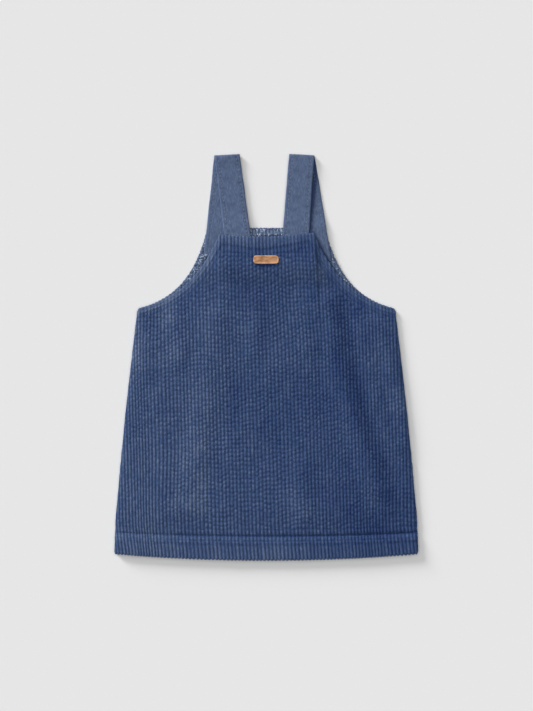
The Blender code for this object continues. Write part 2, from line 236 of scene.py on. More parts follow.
# A swell runs through three points, at its top, halfway and at its low end. Troughs have a height below zero.
Swell = namedtuple("Swell", "top_y low_y top_x mid_x low_x half_width height")
SWELLS = [Swell(*row) for row in (
    (80, -165, 64, 88, 132, 23, 2.3), (78, -150, 84, 106, 146, 19, -1.2), (50, -110, 112, 144, 156, 17, 1.4),
    (66, -185, -55, -68, -94, 24, 1.3), (66, -20, -94, -96, -98, 16, 0.6), (74, -8, -15, -12, -13, 15, 0.9),
    (84, -4, 41, 46, 47, 18, 0.9), (-100, -200, 38, 40, 39, 18, 0.9), (-60, -190, -114, -112, -118, 16, 0.5))]


# %% Heights of the layers
def swell_height(x, y):
    total = np.zeros_like(x)
    for swell in SWELLS:
        along = (swell.top_y - y) / (swell.top_y - swell.low_y)
        rest = 1.0 - along
        middle = (rest * swell.top_x - along * swell.low_x) * (rest - along)
        middle += 4.0 * along * rest * swell.mid_x
        ends = soft_step((swell.top_y - y) / swell.half_width)
        ends = ends * soft_step((y - swell.low_y) / swell.half_width)
        total += swell.height * ends * hump((x - middle) / swell.half_width)
    return total


def strap_pad(x, y):
    """How far the strap ends under the bib hold it off the back."""
    inward = np.cos(0.5 * math.pi * np.clip(np.abs(x) / BIB_PAD_INNER_X, 0.0, 1.0)) ** 2
    outward = fade((np.abs(x) - BIB_PAD_OUTER_X) / BIB_PAD_SIDE_FADE)
    bib = (1.0 - (1.0 - BIB_PAD_CENTRE) * inward) * outward
    bib *= STRAP_STACK * soft_step(1.0 + (y - BIB_PAD_LOW_Y) / BIB_PAD_FADE)
    leg = fade((np.abs(x) - BACK_LEG_PAD_X) / BIB_PAD_SIDE_FADE)
    leg *= 0.5 * STRAP_STACK * soft_step(1.0 + (y - BACK_LEG_PAD_LOW_Y) / BIB_PAD_FADE)
    return (bib ** 4 + leg ** 4) ** 0.25


def hem_layer(x, y):
    """0 at the hem's stitches and above, 1 where the turned-up hem has made the cloth thicker."""
    return fade((y - hem_line_y(x)) / HEM_SLOPE + 1.0)


def back_inner(x, y):
    return BACK_WALL + HEM_EXTRA * hem_layer(x, y)


def front_inner(spots):
    across = 1.0 - (1.0 - np.clip(spots.from_side / DOME_SIDE, 0.0, 1.0)) ** DOME_CURVE
    from_hem = soft_step(spots.from_hem / DOME_RISE)
    lift = DOME * across * mix(DOME_AT_HEM, 1.0, from_hem) * soft_step(spots.from_top / DOME_EDGE)
    lift += swell_height(spots.x, spots.y) * from_hem
    return back_inner(spots.x, spots.y) + SEAM_GAP + np.maximum(0.0, lift) + strap_pad(spots.x, spots.y)


print("straps hold the bib", round(STRAP_STACK, 1), "mm off the back")

# %% [markdown]
# ## The run of the wales
#
# Wales are the ridges of corduroy. They were cut straight, but on the finished dress they lean by a degree or
# two, stand closer towards the sides, and swing out above the hem, where sewing has dragged the cloth. The
# coordinate u counts across the wales, and this cell says where a wale is at each height. Each wale gets four
# columns of points, one in the groove and three over the ridge.

# %% Wale positions
WALE_PITCH = 3.95
WALE_COLUMNS = 4
FIRST_WALE, LAST_WALE = -47, 45
COLUMN = np.arange((LAST_WALE - FIRST_WALE) * WALE_COLUMNS + 1)
COLUMN_U = WALE_PITCH * (FIRST_WALE + COLUMN / WALE_COLUMNS)
WALE, STEP = COLUMN // WALE_COLUMNS, COLUMN % WALE_COLUMNS
RIDGE = np.array([0.0, 0.75, 1.0, 0.75])[STEP]
LEAN = 0.028
SPREAD, SPREAD_FADE = 1.013, 1.25e-6
BIB_SQUEEZE, BIB_SQUEEZE_Y = 6.9e-6, 60.0
HEM_LEAN, HEM_LEAN_START = 0.035, 6.0  # how far above the hem's stitches it starts
HEM_EDGE_LEAN, HEM_EDGE_LEAN_START = 0.02, 16.0

Swing = namedtuple("Swing", "u half_u high_y low_y push")
SWINGS = [Swing(*row) for row in (
    (-100, 55, -88, -170, -3.2), (130, 38, -100, -180, -2.5), (-128, 28, 58, -8, -2.2), (45, 70, 75, 0, 2.2))]


def wale_x(u, y):
    x = u * (SPREAD - SPREAD_FADE * u * u) - LEAN * y
    x = x - u * BIB_SQUEEZE * np.maximum(0.0, y - BIB_SQUEEZE_Y) ** 2
    for swing in SWINGS:
        sideways = soft_step((swing.high_y - y) / (swing.high_y - swing.low_y))
        x = x + swing.push * hump((u - swing.u) / swing.half_u) * sideways
    below = np.maximum(0.0, hem_line_y(u) - y + HEM_LEAN_START)
    x = x + HEM_LEAN * (1.0 + (u / 150.0) ** 2) * below
    return x + HEM_EDGE_LEAN * np.maximum(0.0, below - HEM_EDGE_LEAN_START)


print("wales across the hem:", round(2 * float(side_x(HEM_Y)) / WALE_PITCH))

# %% [markdown]
# ## A grid that follows the wales
#
# Each panel is a grid: columns run up the wales and rows run across. At the side seams the wales run out
# under the seam, so the grid is trimmed there: in every row the first point past the seam is moved onto it,
# and the rest is dropped. Cutting a finished mesh with a Boolean would do the same, with worse triangles.

# %% Spots of a panel
Spots = namedtuple("Spots", "x y from_hem from_top from_side alive own")
EDGE_STEPS = np.array([0.0, 0.35, 0.9, 1.7, 2.7])[:, None]
HEM_STEPS = np.linspace(-HEM_SLOPE, 0.0, 4)[:, None]
PLAIN_HEM_ROWS, PLAIN_ROWS = 4, 50


def between(start, end, count):
    """Rows spread evenly between two rows, without the two."""
    shares = (np.arange(count) + 1.0) / (count + 1.0)
    return start + (end - start) * shares[:, None]


def settled(height_at, u, start_y):
    """The height at which each column meets a line that is given by its height at x."""
    y = np.full_like(u, start_y)
    for _ in range(10):
        y = height_at(wale_x(u, y))
    return y


def column_ends(panel, u):
    """Where each column starts, crosses the hem's stitches and ends, and how slanting its upper end is."""
    low = settled(hem_y, u, HEM_Y)
    high = settled(lambda x: top_edge(panel, x)[0], u, UNDERARM_Y)
    slant = top_edge(panel, wale_x(u, high))[1]
    low_turn, high_turn = (CORNER * (1.0 - roll(np.maximum(0.0, side_x(y) - np.abs(wale_x(u, y))), CORNER))
                           for y in (low, high))
    return low + low_turn + HEM_TUCK, settled(hem_line_y, u, HEM_LINE_Y), high - high_turn, slant


def plain_rows(low, line, stop, steps):
    """Rows of a panel without beads: its hem's edge, the turned-up hem, its slope and the cloth above."""
    return [low + steps, between(low + steps[-1], line + HEM_STEPS[0], PLAIN_HEM_ROWS), line + HEM_STEPS,
            between(line + HEM_STEPS[-1], stop, PLAIN_ROWS)]


def panel_spots(u, y, slant, closed=None):
    """The points of a panel, trimmed at the side seams. closed marks spots that fall onto one further up."""
    x = wale_x(u, y)
    seam = side_x(y)
    past = np.abs(x) > seam - 0.3 * (u[1] - u[0])
    middle = int(np.searchsorted(u, 0.0))
    first = np.zeros_like(past)
    first[:, middle:] = past[:, middle:] & ~past[:, middle - 1:-1]
    first[:, :middle] = past[:, :middle] & ~past[:, 1:middle + 1]
    x = np.where(first, np.sign(x) * seam, x)
    alive = ~past | first
    return Spots(x=x, y=y, from_hem=y - y[0], from_top=(y[-1] - y) / slant,
                 from_side=np.maximum(0.0, seam - np.abs(x)),
                 alive=alive, own=alive if closed is None else alive & ~closed)


# %% A closed wall between two grids
def quads(vertex):
    """The four corners of every cell in a grid of vertices."""
    cells = [vertex[:-1, :-1], vertex[:-1, 1:], vertex[1:, 1:], vertex[1:, :-1]]
    return np.stack(cells, axis=-1).reshape(-1, 4)


def grid_faces(spots, first_vertex):
    """Faces of a trimmed grid, and the vertex at each spot, or -1."""
    vertex = np.full(spots.alive.shape, -1)
    vertex[spots.own] = first_vertex + np.arange(spots.own.sum())
    for row in range(len(vertex) - 2, -1, -1):
        falls = spots.alive[row] & ~spots.own[row]
        vertex[row, falls] = vertex[row + 1, falls]
    corners = quads(vertex)
    whole = (corners >= 0).all(axis=1) & (corners[:, 0] != corners[:, 3]) & (corners[:, 1] != corners[:, 2])
    faces = corners[whole].tolist()
    for face in corners[~whole & ((corners >= 0).sum(axis=1) >= 3)].tolist():
        ring = list(dict.fromkeys(v for v in face if v >= 0))
        if len(ring) >= 3:
            faces.append(ring)
    return faces, vertex


def chains(spots, vertex, places):
    """The four edges of a trimmed grid, each as (place, vertex) pairs: hem, top, left and right."""
    hem, top = ([(place, v) for place, v in zip(places, line) if v >= 0] for line in (vertex[0], vertex[-1]))
    sides = [[], []]
    for row, line in enumerate(vertex):
        on = np.flatnonzero(line >= 0)
        for side, column in zip(sides, (on[0], on[-1])):
            if not side or side[-1][1] != line[column]:
                side.append((spots.y[row, column], line[column]))
    return [hem, top, *sides]


def bridge(fine, coarse):
    """Faces between the same edge of two grids."""
    faces, start = [], 0
    for index, (place, v) in enumerate(coarse[1:], 1):
        end = len(fine) - 1
        if index < len(coarse) - 1:
            end = next((i for i in range(start, end) if fine[i][0] >= place), end)
        faces.append([w for _, w in fine[start:end + 1]] + [v, coarse[index - 1][1]])
        start = end
    return faces


def put(name, data):
    """Puts an object into the scene."""
    placed = bpy.data.objects.new(name, data)
    bpy.context.scene.collection.objects.link(placed)
    return placed


def link_piece(name, points, faces, slots=None, smooth=None):
    """Makes an object of points in millimetres."""
    mesh = bpy.data.meshes.new(name)
    mesh.from_pydata(np.asarray(points) * MM, [], faces)
    mesh.polygons.foreach_set("use_smooth", np.ones(len(faces), bool) if smooth is None else smooth)
    if slots is not None:
        mesh.polygons.foreach_set("material_index", slots)
    piece = put(name, mesh)
    mesh.calc_loop_triangles()
    print(name, len(mesh.vertices), "points,", len(mesh.loop_triangles), "triangles")
    return piece


def cloth_wall(name, outer, outer_z, inner, inner_z, places):
    """A closed mesh between an outer and an inner grid. places are the inner grid's columns in the outer."""
    points = [np.stack([s.x, s.y, z], axis=-1)[s.own] for s, z in ((outer, outer_z), (inner, inner_z))]
    faces, vertex = grid_faces(outer, 0)
    inner_faces, inner_vertex = grid_faces(inner, len(points[0]))
    rims = []
    for edge in zip(chains(outer, vertex, range(vertex.shape[1])), chains(inner, inner_vertex, places)):
        rims += bridge(*edge)
    counts = [len(faces), len(inner_faces), len(rims)]
    piece = link_piece(name, np.concatenate(points), faces + inner_faces + rims,
                       np.repeat([0, 1, 0], counts), np.repeat([True, True, False], counts))
    work = bmesh.new()
    work.from_mesh(piece.data)
    bmesh.ops.recalc_face_normals(work, faces=work.faces)
    print("  open edges:", sum(not edge.is_manifold for edge in work.edges))
    work.to_mesh(piece.data)
    work.free()
    return piece


def paint(piece, **numbers):
    """Stores named numbers at the points, for the finish. Points past the last number get 0."""
    for name, values in numbers.items():
        stored = np.zeros(len(piece.data.vertices), np.float32)
        stored[:np.size(values)] = np.ravel(values)
        piece.data.attributes.new(name, "FLOAT", "POINT").data.foreach_set("value", stored)


# %% [markdown]
# ## Beads of pile
#
# A wale of washed wide corduroy isn't a smooth rib. The pile stands in small beads, pinched every 5 mm. A
# bump map could fake that, but then the outline, the shadows and the mesh itself would be flat. Subdividing
# the whole cloth evenly would need ten times the points. So the grid is locked to the beads: each bead has
# four rows, one of them at its pinch.

# %% Rows that follow the beads
BEAD_ROWS = 4
BEAD_LENGTH = 4.9
BEAD_ROW = BEAD_LENGTH / BEAD_ROWS
LINED_UP = 12.0  # near the stitches the beads of neighbouring wales stand side by side
LEAST_ROW = 0.45  # a row nearer to the upper line than this part of a row closes onto it


def bead_slip(wale, above):
    """How far the beads of a wale are shifted along it."""
    wale = wale + 0.0
    return BEAD_LENGTH * (0.5 * drift(21, wale, above / 70.0) + 0.2 * drift(22, wale, above / 16.0))


def bead_rows(start, stop):
    """Rows of points between two lines, four to a bead, and where they have closed onto the upper line."""
    room = stop - start
    above = BEAD_ROW * (np.arange(int(room.max() / BEAD_ROW)) + 1.0)[:, None]
    slip = 0.5 * (bead_slip(np.where(STEP == 0, WALE - 1, WALE), above) + bead_slip(WALE, above))
    slip = slip * soft_step(above / LINED_UP) * soft_step((room - above) / LINED_UP)
    closed = np.broadcast_to(above > room - LEAST_ROW * BEAD_ROW, slip.shape)
    return np.where(closed, stop, start + above + slip), closed


# %% [markdown]
# ## The front
#
# From the hem up, the rows are: the turned edge, plain wales, a faint trough where the raw edge inside the
# hem ends, two beads, the trough of the stitches, the open cloth in beads, and a band with its own trough
# along the neck and armholes. Columns under the armholes have fewer beads, so their rows close onto the band.

# %% Grid of the front
SCALLOP = 1.5
HEM_PLAIN_ROWS = 6
BAND_ROWS = 4
LEAST_BAND = 5.0
RAW_EDGE_STEPS = np.array([-12.2, -11.1, -10.0])[:, None]  # from the stitches down
HEM_BEAD_STEPS = np.array([-9.2, -8.4, -7.5, -6.4, -5.5, -4.6, -3.9])[:, None]
TROUGH_STEPS = np.array([-3.2, -2.2, -1.1, 0.1, 1.4])[:, None]
BAND_TROUGH_STEPS = np.array([-4.4, -2.2, 0.0, 1.1, 2.2])[:, None]
TROUGH_SHARES = np.array([0.0, 0.6, 1.0, 0.6, 0.0])
BEAD_PINCH = np.array([1.0, 0.3, 0.0, 0.3])
ARM_PINCH = np.array([0.0, 0.9, 0.1, 0.9, 0.1, 0.0, 0.1, 0.3, 0.9, 0.4, 0.1, 0.0, 0.0, 0.0])

# What each row of the grid is: how pinched, how deep in a trough of stitches or of the raw edge, and the
# numbers of its bead and of the nearest waist between two beads.
Row = namedtuple("Row", "pinch dip raw bead waist")


def outside_bib(x):
    """0 along the bib's neck edge, 1 from its corners outwards, along the armholes."""
    return soft_step((np.abs(x) - 50.0) / 8.0)


def rows(y, pinch=0.0, dip=0.0, raw=0.0, bead=0.0, waist=0.0):
    return y, Row(*(np.broadcast_to(value, len(y)) for value in (pinch, dip, raw, bead, waist)))


def front_grid():
    low, line, high, slant = column_ends(FRONT, COLUMN_U)
    low, high = low + SCALLOP * (1.0 - RIDGE), high + 0.4 * SCALLOP * RIDGE
    band = np.minimum(settled(band_y, COLUMN_U, UNDERARM_Y), high - LEAST_BAND * slant)
    beads, closed = bead_rows(line + TROUGH_STEPS[-1], band + BAND_TROUGH_STEPS[0] * slant)
    number = np.arange(len(beads)) + 1
    blocks = [
        rows(low + EDGE_STEPS),
        rows(between(low + EDGE_STEPS[-1], line + RAW_EDGE_STEPS[0], HEM_PLAIN_ROWS)),
        rows(line + RAW_EDGE_STEPS, pinch=(0.25, 0.5, 0.25), raw=(0.5, 1.0, 0.5)),
        rows(line + HEM_BEAD_STEPS, pinch=(0.3, 0.0, 0.3, 1.1, 0.3, 0.0, 0.3),
             bead=(1, 1, 1, 1, 2, 2, 2), waist=1),
        rows(line + TROUGH_STEPS, pinch=0.8 * TROUGH_SHARES, dip=TROUGH_SHARES),
        rows(beads, pinch=BEAD_PINCH[number % BEAD_ROWS], bead=3 + number // BEAD_ROWS,
             waist=3 + (number + 2) // BEAD_ROWS),
        rows(band + BAND_TROUGH_STEPS * slant, pinch=0.4 * TROUGH_SHARES, dip=TROUGH_SHARES),
        rows(between(band + BAND_TROUGH_STEPS[-1] * slant, high - EDGE_STEPS[-1] * slant, BAND_ROWS)),
        rows(high - EDGE_STEPS[::-1] * slant),
    ]
    y = np.vstack([block for block, _ in blocks])
    row = Row(*(np.concatenate(part)[:, None] for part in zip(*(kind for _, kind in blocks))))
    pinch = np.broadcast_to(row.pinch, y.shape).copy()
    at_arm = pinch[-len(ARM_PINCH):]
    at_arm[:] = mix(at_arm, ARM_PINCH[:, None], outside_bib(wale_x(COLUMN_U, high)))
    first = sum(len(block) for block, _ in blocks[:5])
    shut = np.zeros(y.shape, bool)
    shut[first:first + len(beads)] = closed
    return panel_spots(COLUMN_U, y, slant, shut), row._replace(pinch=pinch)


FRONT_SPOTS, FRONT_ROW = front_grid()
print("front grid:", FRONT_SPOTS.x.shape, "of which", int(FRONT_SPOTS.own.sum()), "points are used")

# %% [markdown]
# The relief then reads off where a point is: on a crest, a shoulder or in a groove, at a pinch or on a crown.
# Beads differ in height, wales waver a little, and near the edges the pressed cloth is flatter.

# %% Relief of the front
WALE_HEIGHT, GROOVE_DEPTH = 1.05, 0.2
MIDDLE_HEIGHT = 0.4 * WALE_HEIGHT
SHOULDER, SHOULDER_PINCH = 0.58, 1.15
PINCH = 0.72
STITCH_DIP = 1.0
NECK_DIP = 0.42
RAW_EDGE_DIP = 0.28
WIDE_PUCKER, SMALL_PUCKER = 0.34, 0.16


def by_side(left, right, x):
    """One value on the left of the dress and another on the right."""
    return mix(left, right, soft_step(0.5 + x / 20.0))


def turned_edge(spots):
    """1 at the hem's, the neck's and the armholes' edges, 0 from where their turn ends."""
    return 1.0 - roll(np.minimum(spots.from_hem, spots.from_top), EDGE_RADIUS)


def bead_relief(spots):
    """Height above the bottom of the cloth's pile, and how far a point moves sideways."""
    x, y, wale, groove, crest = spots.x, spots.y, WALE + 0.0, STEP == 0, STEP == 2
    strength = PINCH * (1.0 + 0.35 * drift(23, WALE / 2.2, y / 26.0)) * (1.0 - 0.3 * np.abs(x / 150.0))
    strength *= (1.0 + 0.5 * drift(28, wale, FRONT_ROW.waist)) * (1.0 + 0.15 * soft_step((y - 45.0) / 30.0))
    strength *= 1.0 + 0.35 * fade((spots.from_top - 6.0) / 14.0) * outside_bib(x)
    long_beads = hump((x + 135.0) / 50.0) * soft_step((-60.0 - y) / 60.0)  # low on the left
    pinched = np.clip(strength * (1.0 - 0.7 * long_beads), 0.0, 0.95) * FRONT_ROW.pinch
    height = np.where(crest, 1.0 - pinched, SHOULDER * (1.0 - SHOULDER_PINCH * pinched)) * WALE_HEIGHT
    height = height * (1.0 + 0.22 * drift(24, wale, FRONT_ROW.bead))
    height = np.where(groove, -GROOVE_DEPTH * (1.0 + 0.6 * drift(25, wale, FRONT_ROW.bead)), height)
    outward = np.where(crest | groove, 0.0, np.sign(STEP - 2.0) * (0.1 - 0.42 * pinched))
    waver = 0.14 * drift(26, WALE + 0.5, y / 7.0) + 0.18 * drift(27, WALE / 2.3, y / 15.0)
    return height, outward + waver


def front_surface(spots):
    """Outer height of the front, sideways shift, fullness of the pile with painted shade in the troughs, and
    how pressed it is.
    """
    x, y = spots.x, spots.y
    in_hem = hem_layer(x, y)
    in_band = fade((spots.from_top - 5.5) / 5.0)
    beside_arm = fade((spots.from_top - 3.0) / 3.5) * outside_bib(x)
    relief, sideways = bead_relief(spots)
    calm = 0.05 * soft_step((x + 70.0) / 50.0) + 0.12 * soft_step((y - 45.0) / 30.0)
    full = (1.0 - calm) * (1.0 - 0.1 * in_hem) * (1.0 - by_side(0.55, 0.2, x) * beside_arm)
    full = full * (1.0 - mix(0.15, 0.5, soft_step((x + 10.0) / 30.0)) * in_band * (1.0 - beside_arm))
    pressed = 1.0 - full
    puckers = WIDE_PUCKER * drift(31, x / 19.0, y / 23.0) + SMALL_PUCKER * drift(32, x / 9.0, y / 11.0)
    at_neck = soft_step((y - 90.0) / 20.0) * (1.0 - beside_arm)
    at_hem = fade((y - 20.0) / 40.0)
    firmness = mix(0.3, 1.0, np.maximum(at_neck, soft_step((x + 165.0) / 190.0)))  # of the hem's stitches
    dip = mix(mix(0.3 * NECK_DIP, STITCH_DIP, at_hem), NECK_DIP, at_neck) * firmness
    dip = dip * (1.0 + 0.35 * drift(33, x / 6.0, 0.5)) * FRONT_ROW.dip
    sewn = firmness * np.maximum(at_hem, 0.35 * at_neck)
    raw = FRONT_ROW.raw * np.clip(0.55 + 0.9 * drift(34, x / 9.0, 0.5), 0.0, 1.2)
    outer = front_inner(spots) + FRONT_WALL + HEM_EXTRA * in_hem
    outer += mix(relief, MIDDLE_HEIGHT, pressed) - dip - RAW_EDGE_DIP * raw
    outer += puckers * soft_step(spots.from_side / 15.0) * soft_step((spots.from_top - 3.0) / 15.0)
    outer = mix(back_inner(x, y) + SEAM_GAP + SEAM_EDGE, outer, roll(spots.from_side, SIDE_ROLL))
    outer -= EDGE_DROP * turned_edge(spots)
    sideways = sideways * soft_step(spots.from_side / 9.0) * soft_step((spots.from_top + 1.0) / 4.0)
    pile_and_trough_shade = (mix(relief, MIDDLE_HEIGHT, 0.6 * pressed) + GROOVE_DEPTH) / (WALE_HEIGHT + GROOVE_DEPTH)
    # Painted shade: the pile tone is lowered in the troughs of the stitches and of the raw edge.
    pile_and_trough_shade = np.clip(pile_and_trough_shade - 0.4 * FRONT_ROW.dip * sewn - 0.16 * raw, 0.0, 1.0)
    return outer, sideways, pile_and_trough_shade, pressed


# %% Wall of the front
END_STEPS = np.array([0.0, 1.0, 2.6])[:, None]


def front_inside():
    """A plain grid for the front's wrong side, which hardly shows."""
    u = COLUMN_U[::WALE_COLUMNS]
    low, line, high, slant = column_ends(FRONT, u)
    ends = high - END_STEPS[::-1] * slant
    spots = panel_spots(u, np.vstack([*plain_rows(low + SCALLOP, line, ends[0], END_STEPS), ends]), slant)
    at_seam = back_inner(spots.x, spots.y) + SEAM_GAP
    height = mix(at_seam, front_inner(spots), roll(spots.from_side, SIDE_ROLL))
    return spots, height + EDGE_TUCK * turned_edge(spots)


outer, sideways, pile_and_trough_shade, pressed = front_surface(FRONT_SPOTS)
front_cloth = cloth_wall("front_cloth", FRONT_SPOTS._replace(x=FRONT_SPOTS.x + sideways), outer,
                         *front_inside(), COLUMN[::WALE_COLUMNS])

# %% [markdown]
# Handling brushes the pile of corduroy one way or another, and brushed cloth looks lighter or darker. This
# number holds that nap together with painted light and shade: a swell's flank that faces the low lamp is
# painted lighter and the other flank darker, the cloth is painted darker towards the right as if the light
# fell off, and the patches are partly nap and partly painted shade of folds, with a painted shadow below the
# tab. It is kept as one number at each point, which the finish adds to its tone.

# %% Nap, with painted light and shade
FLANK_PAINTED_SHADE = 0.55
FLANK_STEP = 2.0
NapAndShadePatch = namedtuple("NapAndShadePatch", "x y half_x half_y tone")
NAP_AND_SHADE_PATCHES = [NapAndShadePatch(*row) for row in (
    (125, -175, 60, 110, -0.10), (120, 10, 30, 70, 0.09), (-92, -120, 32, 60, 0.08), (-148, 10, 22, 60, 0.15),
    (-132, -12, 16, 34, -0.06), (38, 30, 22, 60, 0.06), (28, -150, 30, 40, 0.08), (5, -80, 40, 40, -0.06),
    (-38, -25, 18, 60, -0.05), (14, -2, 42, 16, 0.07), (-63, -68, 14, 55, 0.11), (-71, -145, 19, 52, 0.18),
    (-48, -30, 14, 45, 0.06), (-32, -55, 14, 60, -0.13), (-32, 95, 18, 42, -0.10), (-8, 112, 20, 24, -0.12),
    (-15, 68, 58, 26, -0.08), (24, 98, 16, 20, 0.07), (60, 96, 14, 26, 0.16), (47, -5, 14, 50, 0.07),
    (-140, 6, 12, 36, 0.11), (-110, 42, 14, 20, 0.09), (76, -6, 13, 36, -0.15), (92, -24, 24, 44, -0.09),
    (112, 14, 18, 36, -0.11), (153, -48, 12, 30, 0.17), (43, -172, 24, 34, 0.16), (18, -214, 40, 24, 0.11),
    # (-0.3, 101.5) is a painted shadow below the tab.
    (116, -160, 18, 20, 0.15), (-156, -109, 10, 24, 0.08), (-0.3, 101.5, 18, 2.8, -0.5),
    (130, -190, 55, 9, -0.10), (-82, -163, 20, 22, 0.14), (-70, -96, 12, 20, 0.12), (-110, 53, 16, 20, 0.10),
    (-102, 6, 14, 20, 0.10), (-148, 37, 14, 18, 0.08), (146, -40, 14, 20, 0.09), (100, 52, 14, 20, -0.15),
    (114, 22, 14, 18, -0.13), (54, 70, 14, 18, -0.06), (62, 98, 14, 15, 0.12), (-101, -163, 14, 16, 0.08),
    (-70, -101, 12, 16, 0.06), (-161, -194, 12, 12, 0.12), (98, -70, 14, 16, -0.08), (19, 3, 32, 64, 0.06),
    (106, -41, 14, 36, -0.09), (-63, 37, 14, 38, 0.07), (113, -146, 20, 24, 0.10), (91, -171, 14, 16, -0.09),
    (16, -180, 34, 20, 0.07), (-6, -82, 18, 22, -0.07), (37, 91, 18, 16, 0.08), (138, -45, 14, 24, 0.08))]


def nap_tone(spots):
    x, y = spots.x, spots.y
    tone = 0.03 * drift(36, x / 38.0, y / 46.0) + 0.03 * drift(37, x / 14.0, y / 19.0)
    tone = tone + 0.045 * drift(38, WALE + 0.0, FRONT_ROW.bead)
    # Painted light falloff: darker towards the right.
    tone = tone + 0.02 - 0.13 * soft_step((x + 55.0) / 120.0)
    # Painted shade on the swells: the flank facing the low lamp at the upper left is lighter, the other
    # darker.
    rise = swell_height(x + FLANK_STEP, y - FLANK_STEP) - swell_height(x - FLANK_STEP, y + FLANK_STEP)
    tone = tone + FLANK_PAINTED_SHADE * rise / 5.7
    for patch in NAP_AND_SHADE_PATCHES:
        tone = tone + patch.tone * hump((x - patch.x) / patch.half_x) * hump((y - patch.y) / patch.half_y)
    above_line = y - neck_line_y(x)
    neck_band = soft_step((above_line - 3.0) / 6.0)
    arm_band = fade((spots.from_top - 3.0) / by_side(7.0, 3.5, x)) * outside_bib(x)
    # Painted shade at the armhole's very edge, where its rolled edge faces the lamp.
    arm_band = arm_band * mix(0.45, 1.0, soft_step(spots.from_top / 2.5))
    # A painted shade lies just below the neck band's stitches; the band above them is lighter.
    tone = tone - 0.07 * hump((above_line + 6.0) / 9.0) + (0.09 - 0.03 * soft_step(x / 30.0)) * neck_band
    return tone + by_side(0.22, 0.16, x) * arm_band + 0.01 * hem_layer(x, y)


own = FRONT_SPOTS.own
paint(front_cloth, pile=pile_and_trough_shade[own], pressed=pressed[own], nap=nap_tone(FRONT_SPOTS)[own])

# %% [markdown]
# ## The back
#
# The back is the same corduroy with its ridges down on the table. What shows is its wrong side, at the neck
# and beside the armholes: a plain flat weave with faint lines where the wales are. Its edge is turned in, so
# a band along the edge shows the ridges again, with the cloth's raw edge beside it.

# %% Relief of the back
BACK_BAND_ROWS = 7
TURNED_IN = 7.5
TURNED_EXTRA, TURNED_WALE = 0.3, 0.55
BACK_SCALLOP = 1.3
UNDER_GROOVE, INSIDE_GROOVE, INSIDE_UNEVEN = 0.75, 0.12, 0.08
STRAP_GAP_X, STRAP_GAP_Y = -16.6, 135.4


def shade_beside_front(x, y, reach):
    """Painted shade: 1 close beside the front's right armhole edge, where the front's edge casts its shadow,
    falling to 0.
    """
    high, slant = top_edge(FRONT, x)
    outside = (y - high) / slant
    return fade((outside / reach - 0.25) / 0.75) * soft_step((x - FRONT.corner_x + 3.0) / 4.0)


def strap_gap_shade(x, y):
    """Painted shadow: 1 in the slit beside the left strap, where the back's neck edge and the bib part, 0
    beyond it.
    """
    middle = STRAP_GAP_X + 0.2 * (STRAP_GAP_Y - y)
    return hump((x - middle) / 1.6) * fade(np.abs(y - STRAP_GAP_Y) / 3.5 - 0.5)


def make_back():
    low, line, high, slant = column_ends(BACK, COLUMN_U)
    low = low + BACK_SCALLOP * (1.0 - RIDGE)
    high = high + 0.5 * BACK_SCALLOP * RIDGE * np.minimum(slant, 3.0)
    turned_line, ends = high - (TURNED_IN + 3.0) * slant, high - EDGE_STEPS[::-1] * slant
    spots = panel_spots(COLUMN_U, np.vstack([*plain_rows(low, line, turned_line, EDGE_STEPS),
                                             between(turned_line, ends[0], BACK_BAND_ROWS), ends]), slant)
    x, y = spots.x, spots.y
    side, edge = 1.0 - roll(spots.from_side, SIDE_LIFT), turned_edge(spots)
    groove = UNDER_GROOVE * (1.0 - RIDGE) * (1.0 - 0.6 * side)
    under = np.maximum(np.maximum((BACK_WALL - SEAM_EDGE) * side, 0.7 * edge), groove)
    turned = fade((spots.from_top - TURNED_IN + 1.0) / 2.0)
    ridges = TURNED_EXTRA + TURNED_WALE * RIDGE * (1.0 + 0.3 * drift(42, COLUMN / 4.0, y / 4.0))
    upper = back_inner(x, y) - 0.35 * edge - INSIDE_GROOVE * (1.0 - RIDGE)
    upper = upper + INSIDE_UNEVEN * drift(41, x / 5.0, y / 6.0)
    upper = upper + np.where(spots.from_top < 22.0, turned * (1.0 - edge) * ridges, -0.1)
    piece = cloth_wall("back_cloth", spots, under, spots, upper, COLUMN)
    full = np.broadcast_to(RIDGE, y.shape)
    beside_arm = soft_step((np.abs(x) - BACK.corner_x + 6.0) / 6.0)
    # Painted shade beside the front's right armhole edge, and a painted shadow in the slit beside the left
    # strap.
    shade = np.maximum(0.7 * shade_beside_front(x, y, 1.9), strap_gap_shade(x, y))
    none = 0.0 * full
    for name, under, upper in (("pile", full, full), ("shade", none, shade),
                               ("band", none, turned * (1.0 - 0.7 * beside_arm))):
        paint(piece, **{name: np.concatenate([under[spots.own], upper[spots.own]])})
    return piece


back_cloth = make_back()

# %% [markdown]
# ## Shoulder straps
#
# A strap is one band of twill, sewn inside the back, folded over at the shoulder and sewn inside the bib. A
# curve with a bevel could make it, but a row of sections along the band also gives the soft edges, the two
# troughs of topstitching and the slight waver of a band that has been sewn and washed.

# %% The path of a strap
Strap = namedtuple("Strap", "name node back_x fold_x fold_y front_x end_y twist spring marks seed")
STRAPS = (
    Strap("strap_left_cloth", "strap_left", back_x=-54.2, fold_x=-43.2, fold_y=223.5, front_x=-29.6,
          end_y=111.0, twist=0.6, spring=0.5, marks=1.0, seed=51),
    Strap("strap_right_cloth", "strap_right", back_x=56.2, fold_x=38.9, fold_y=223.7, front_x=31.1,
          end_y=104.0, twist=0.12, spring=2.6, marks=0.45, seed=61),
)
STRAP_FOLD_WIDTH, STRAP_END_WIDTH = 28.0, 29.2
BACK_LEG_END_Y, FRONT_LEG_END_Y = 112.0, 117.0
FOLD_RADIUS = 1.6
FOLD_TURN_STEPS = 10

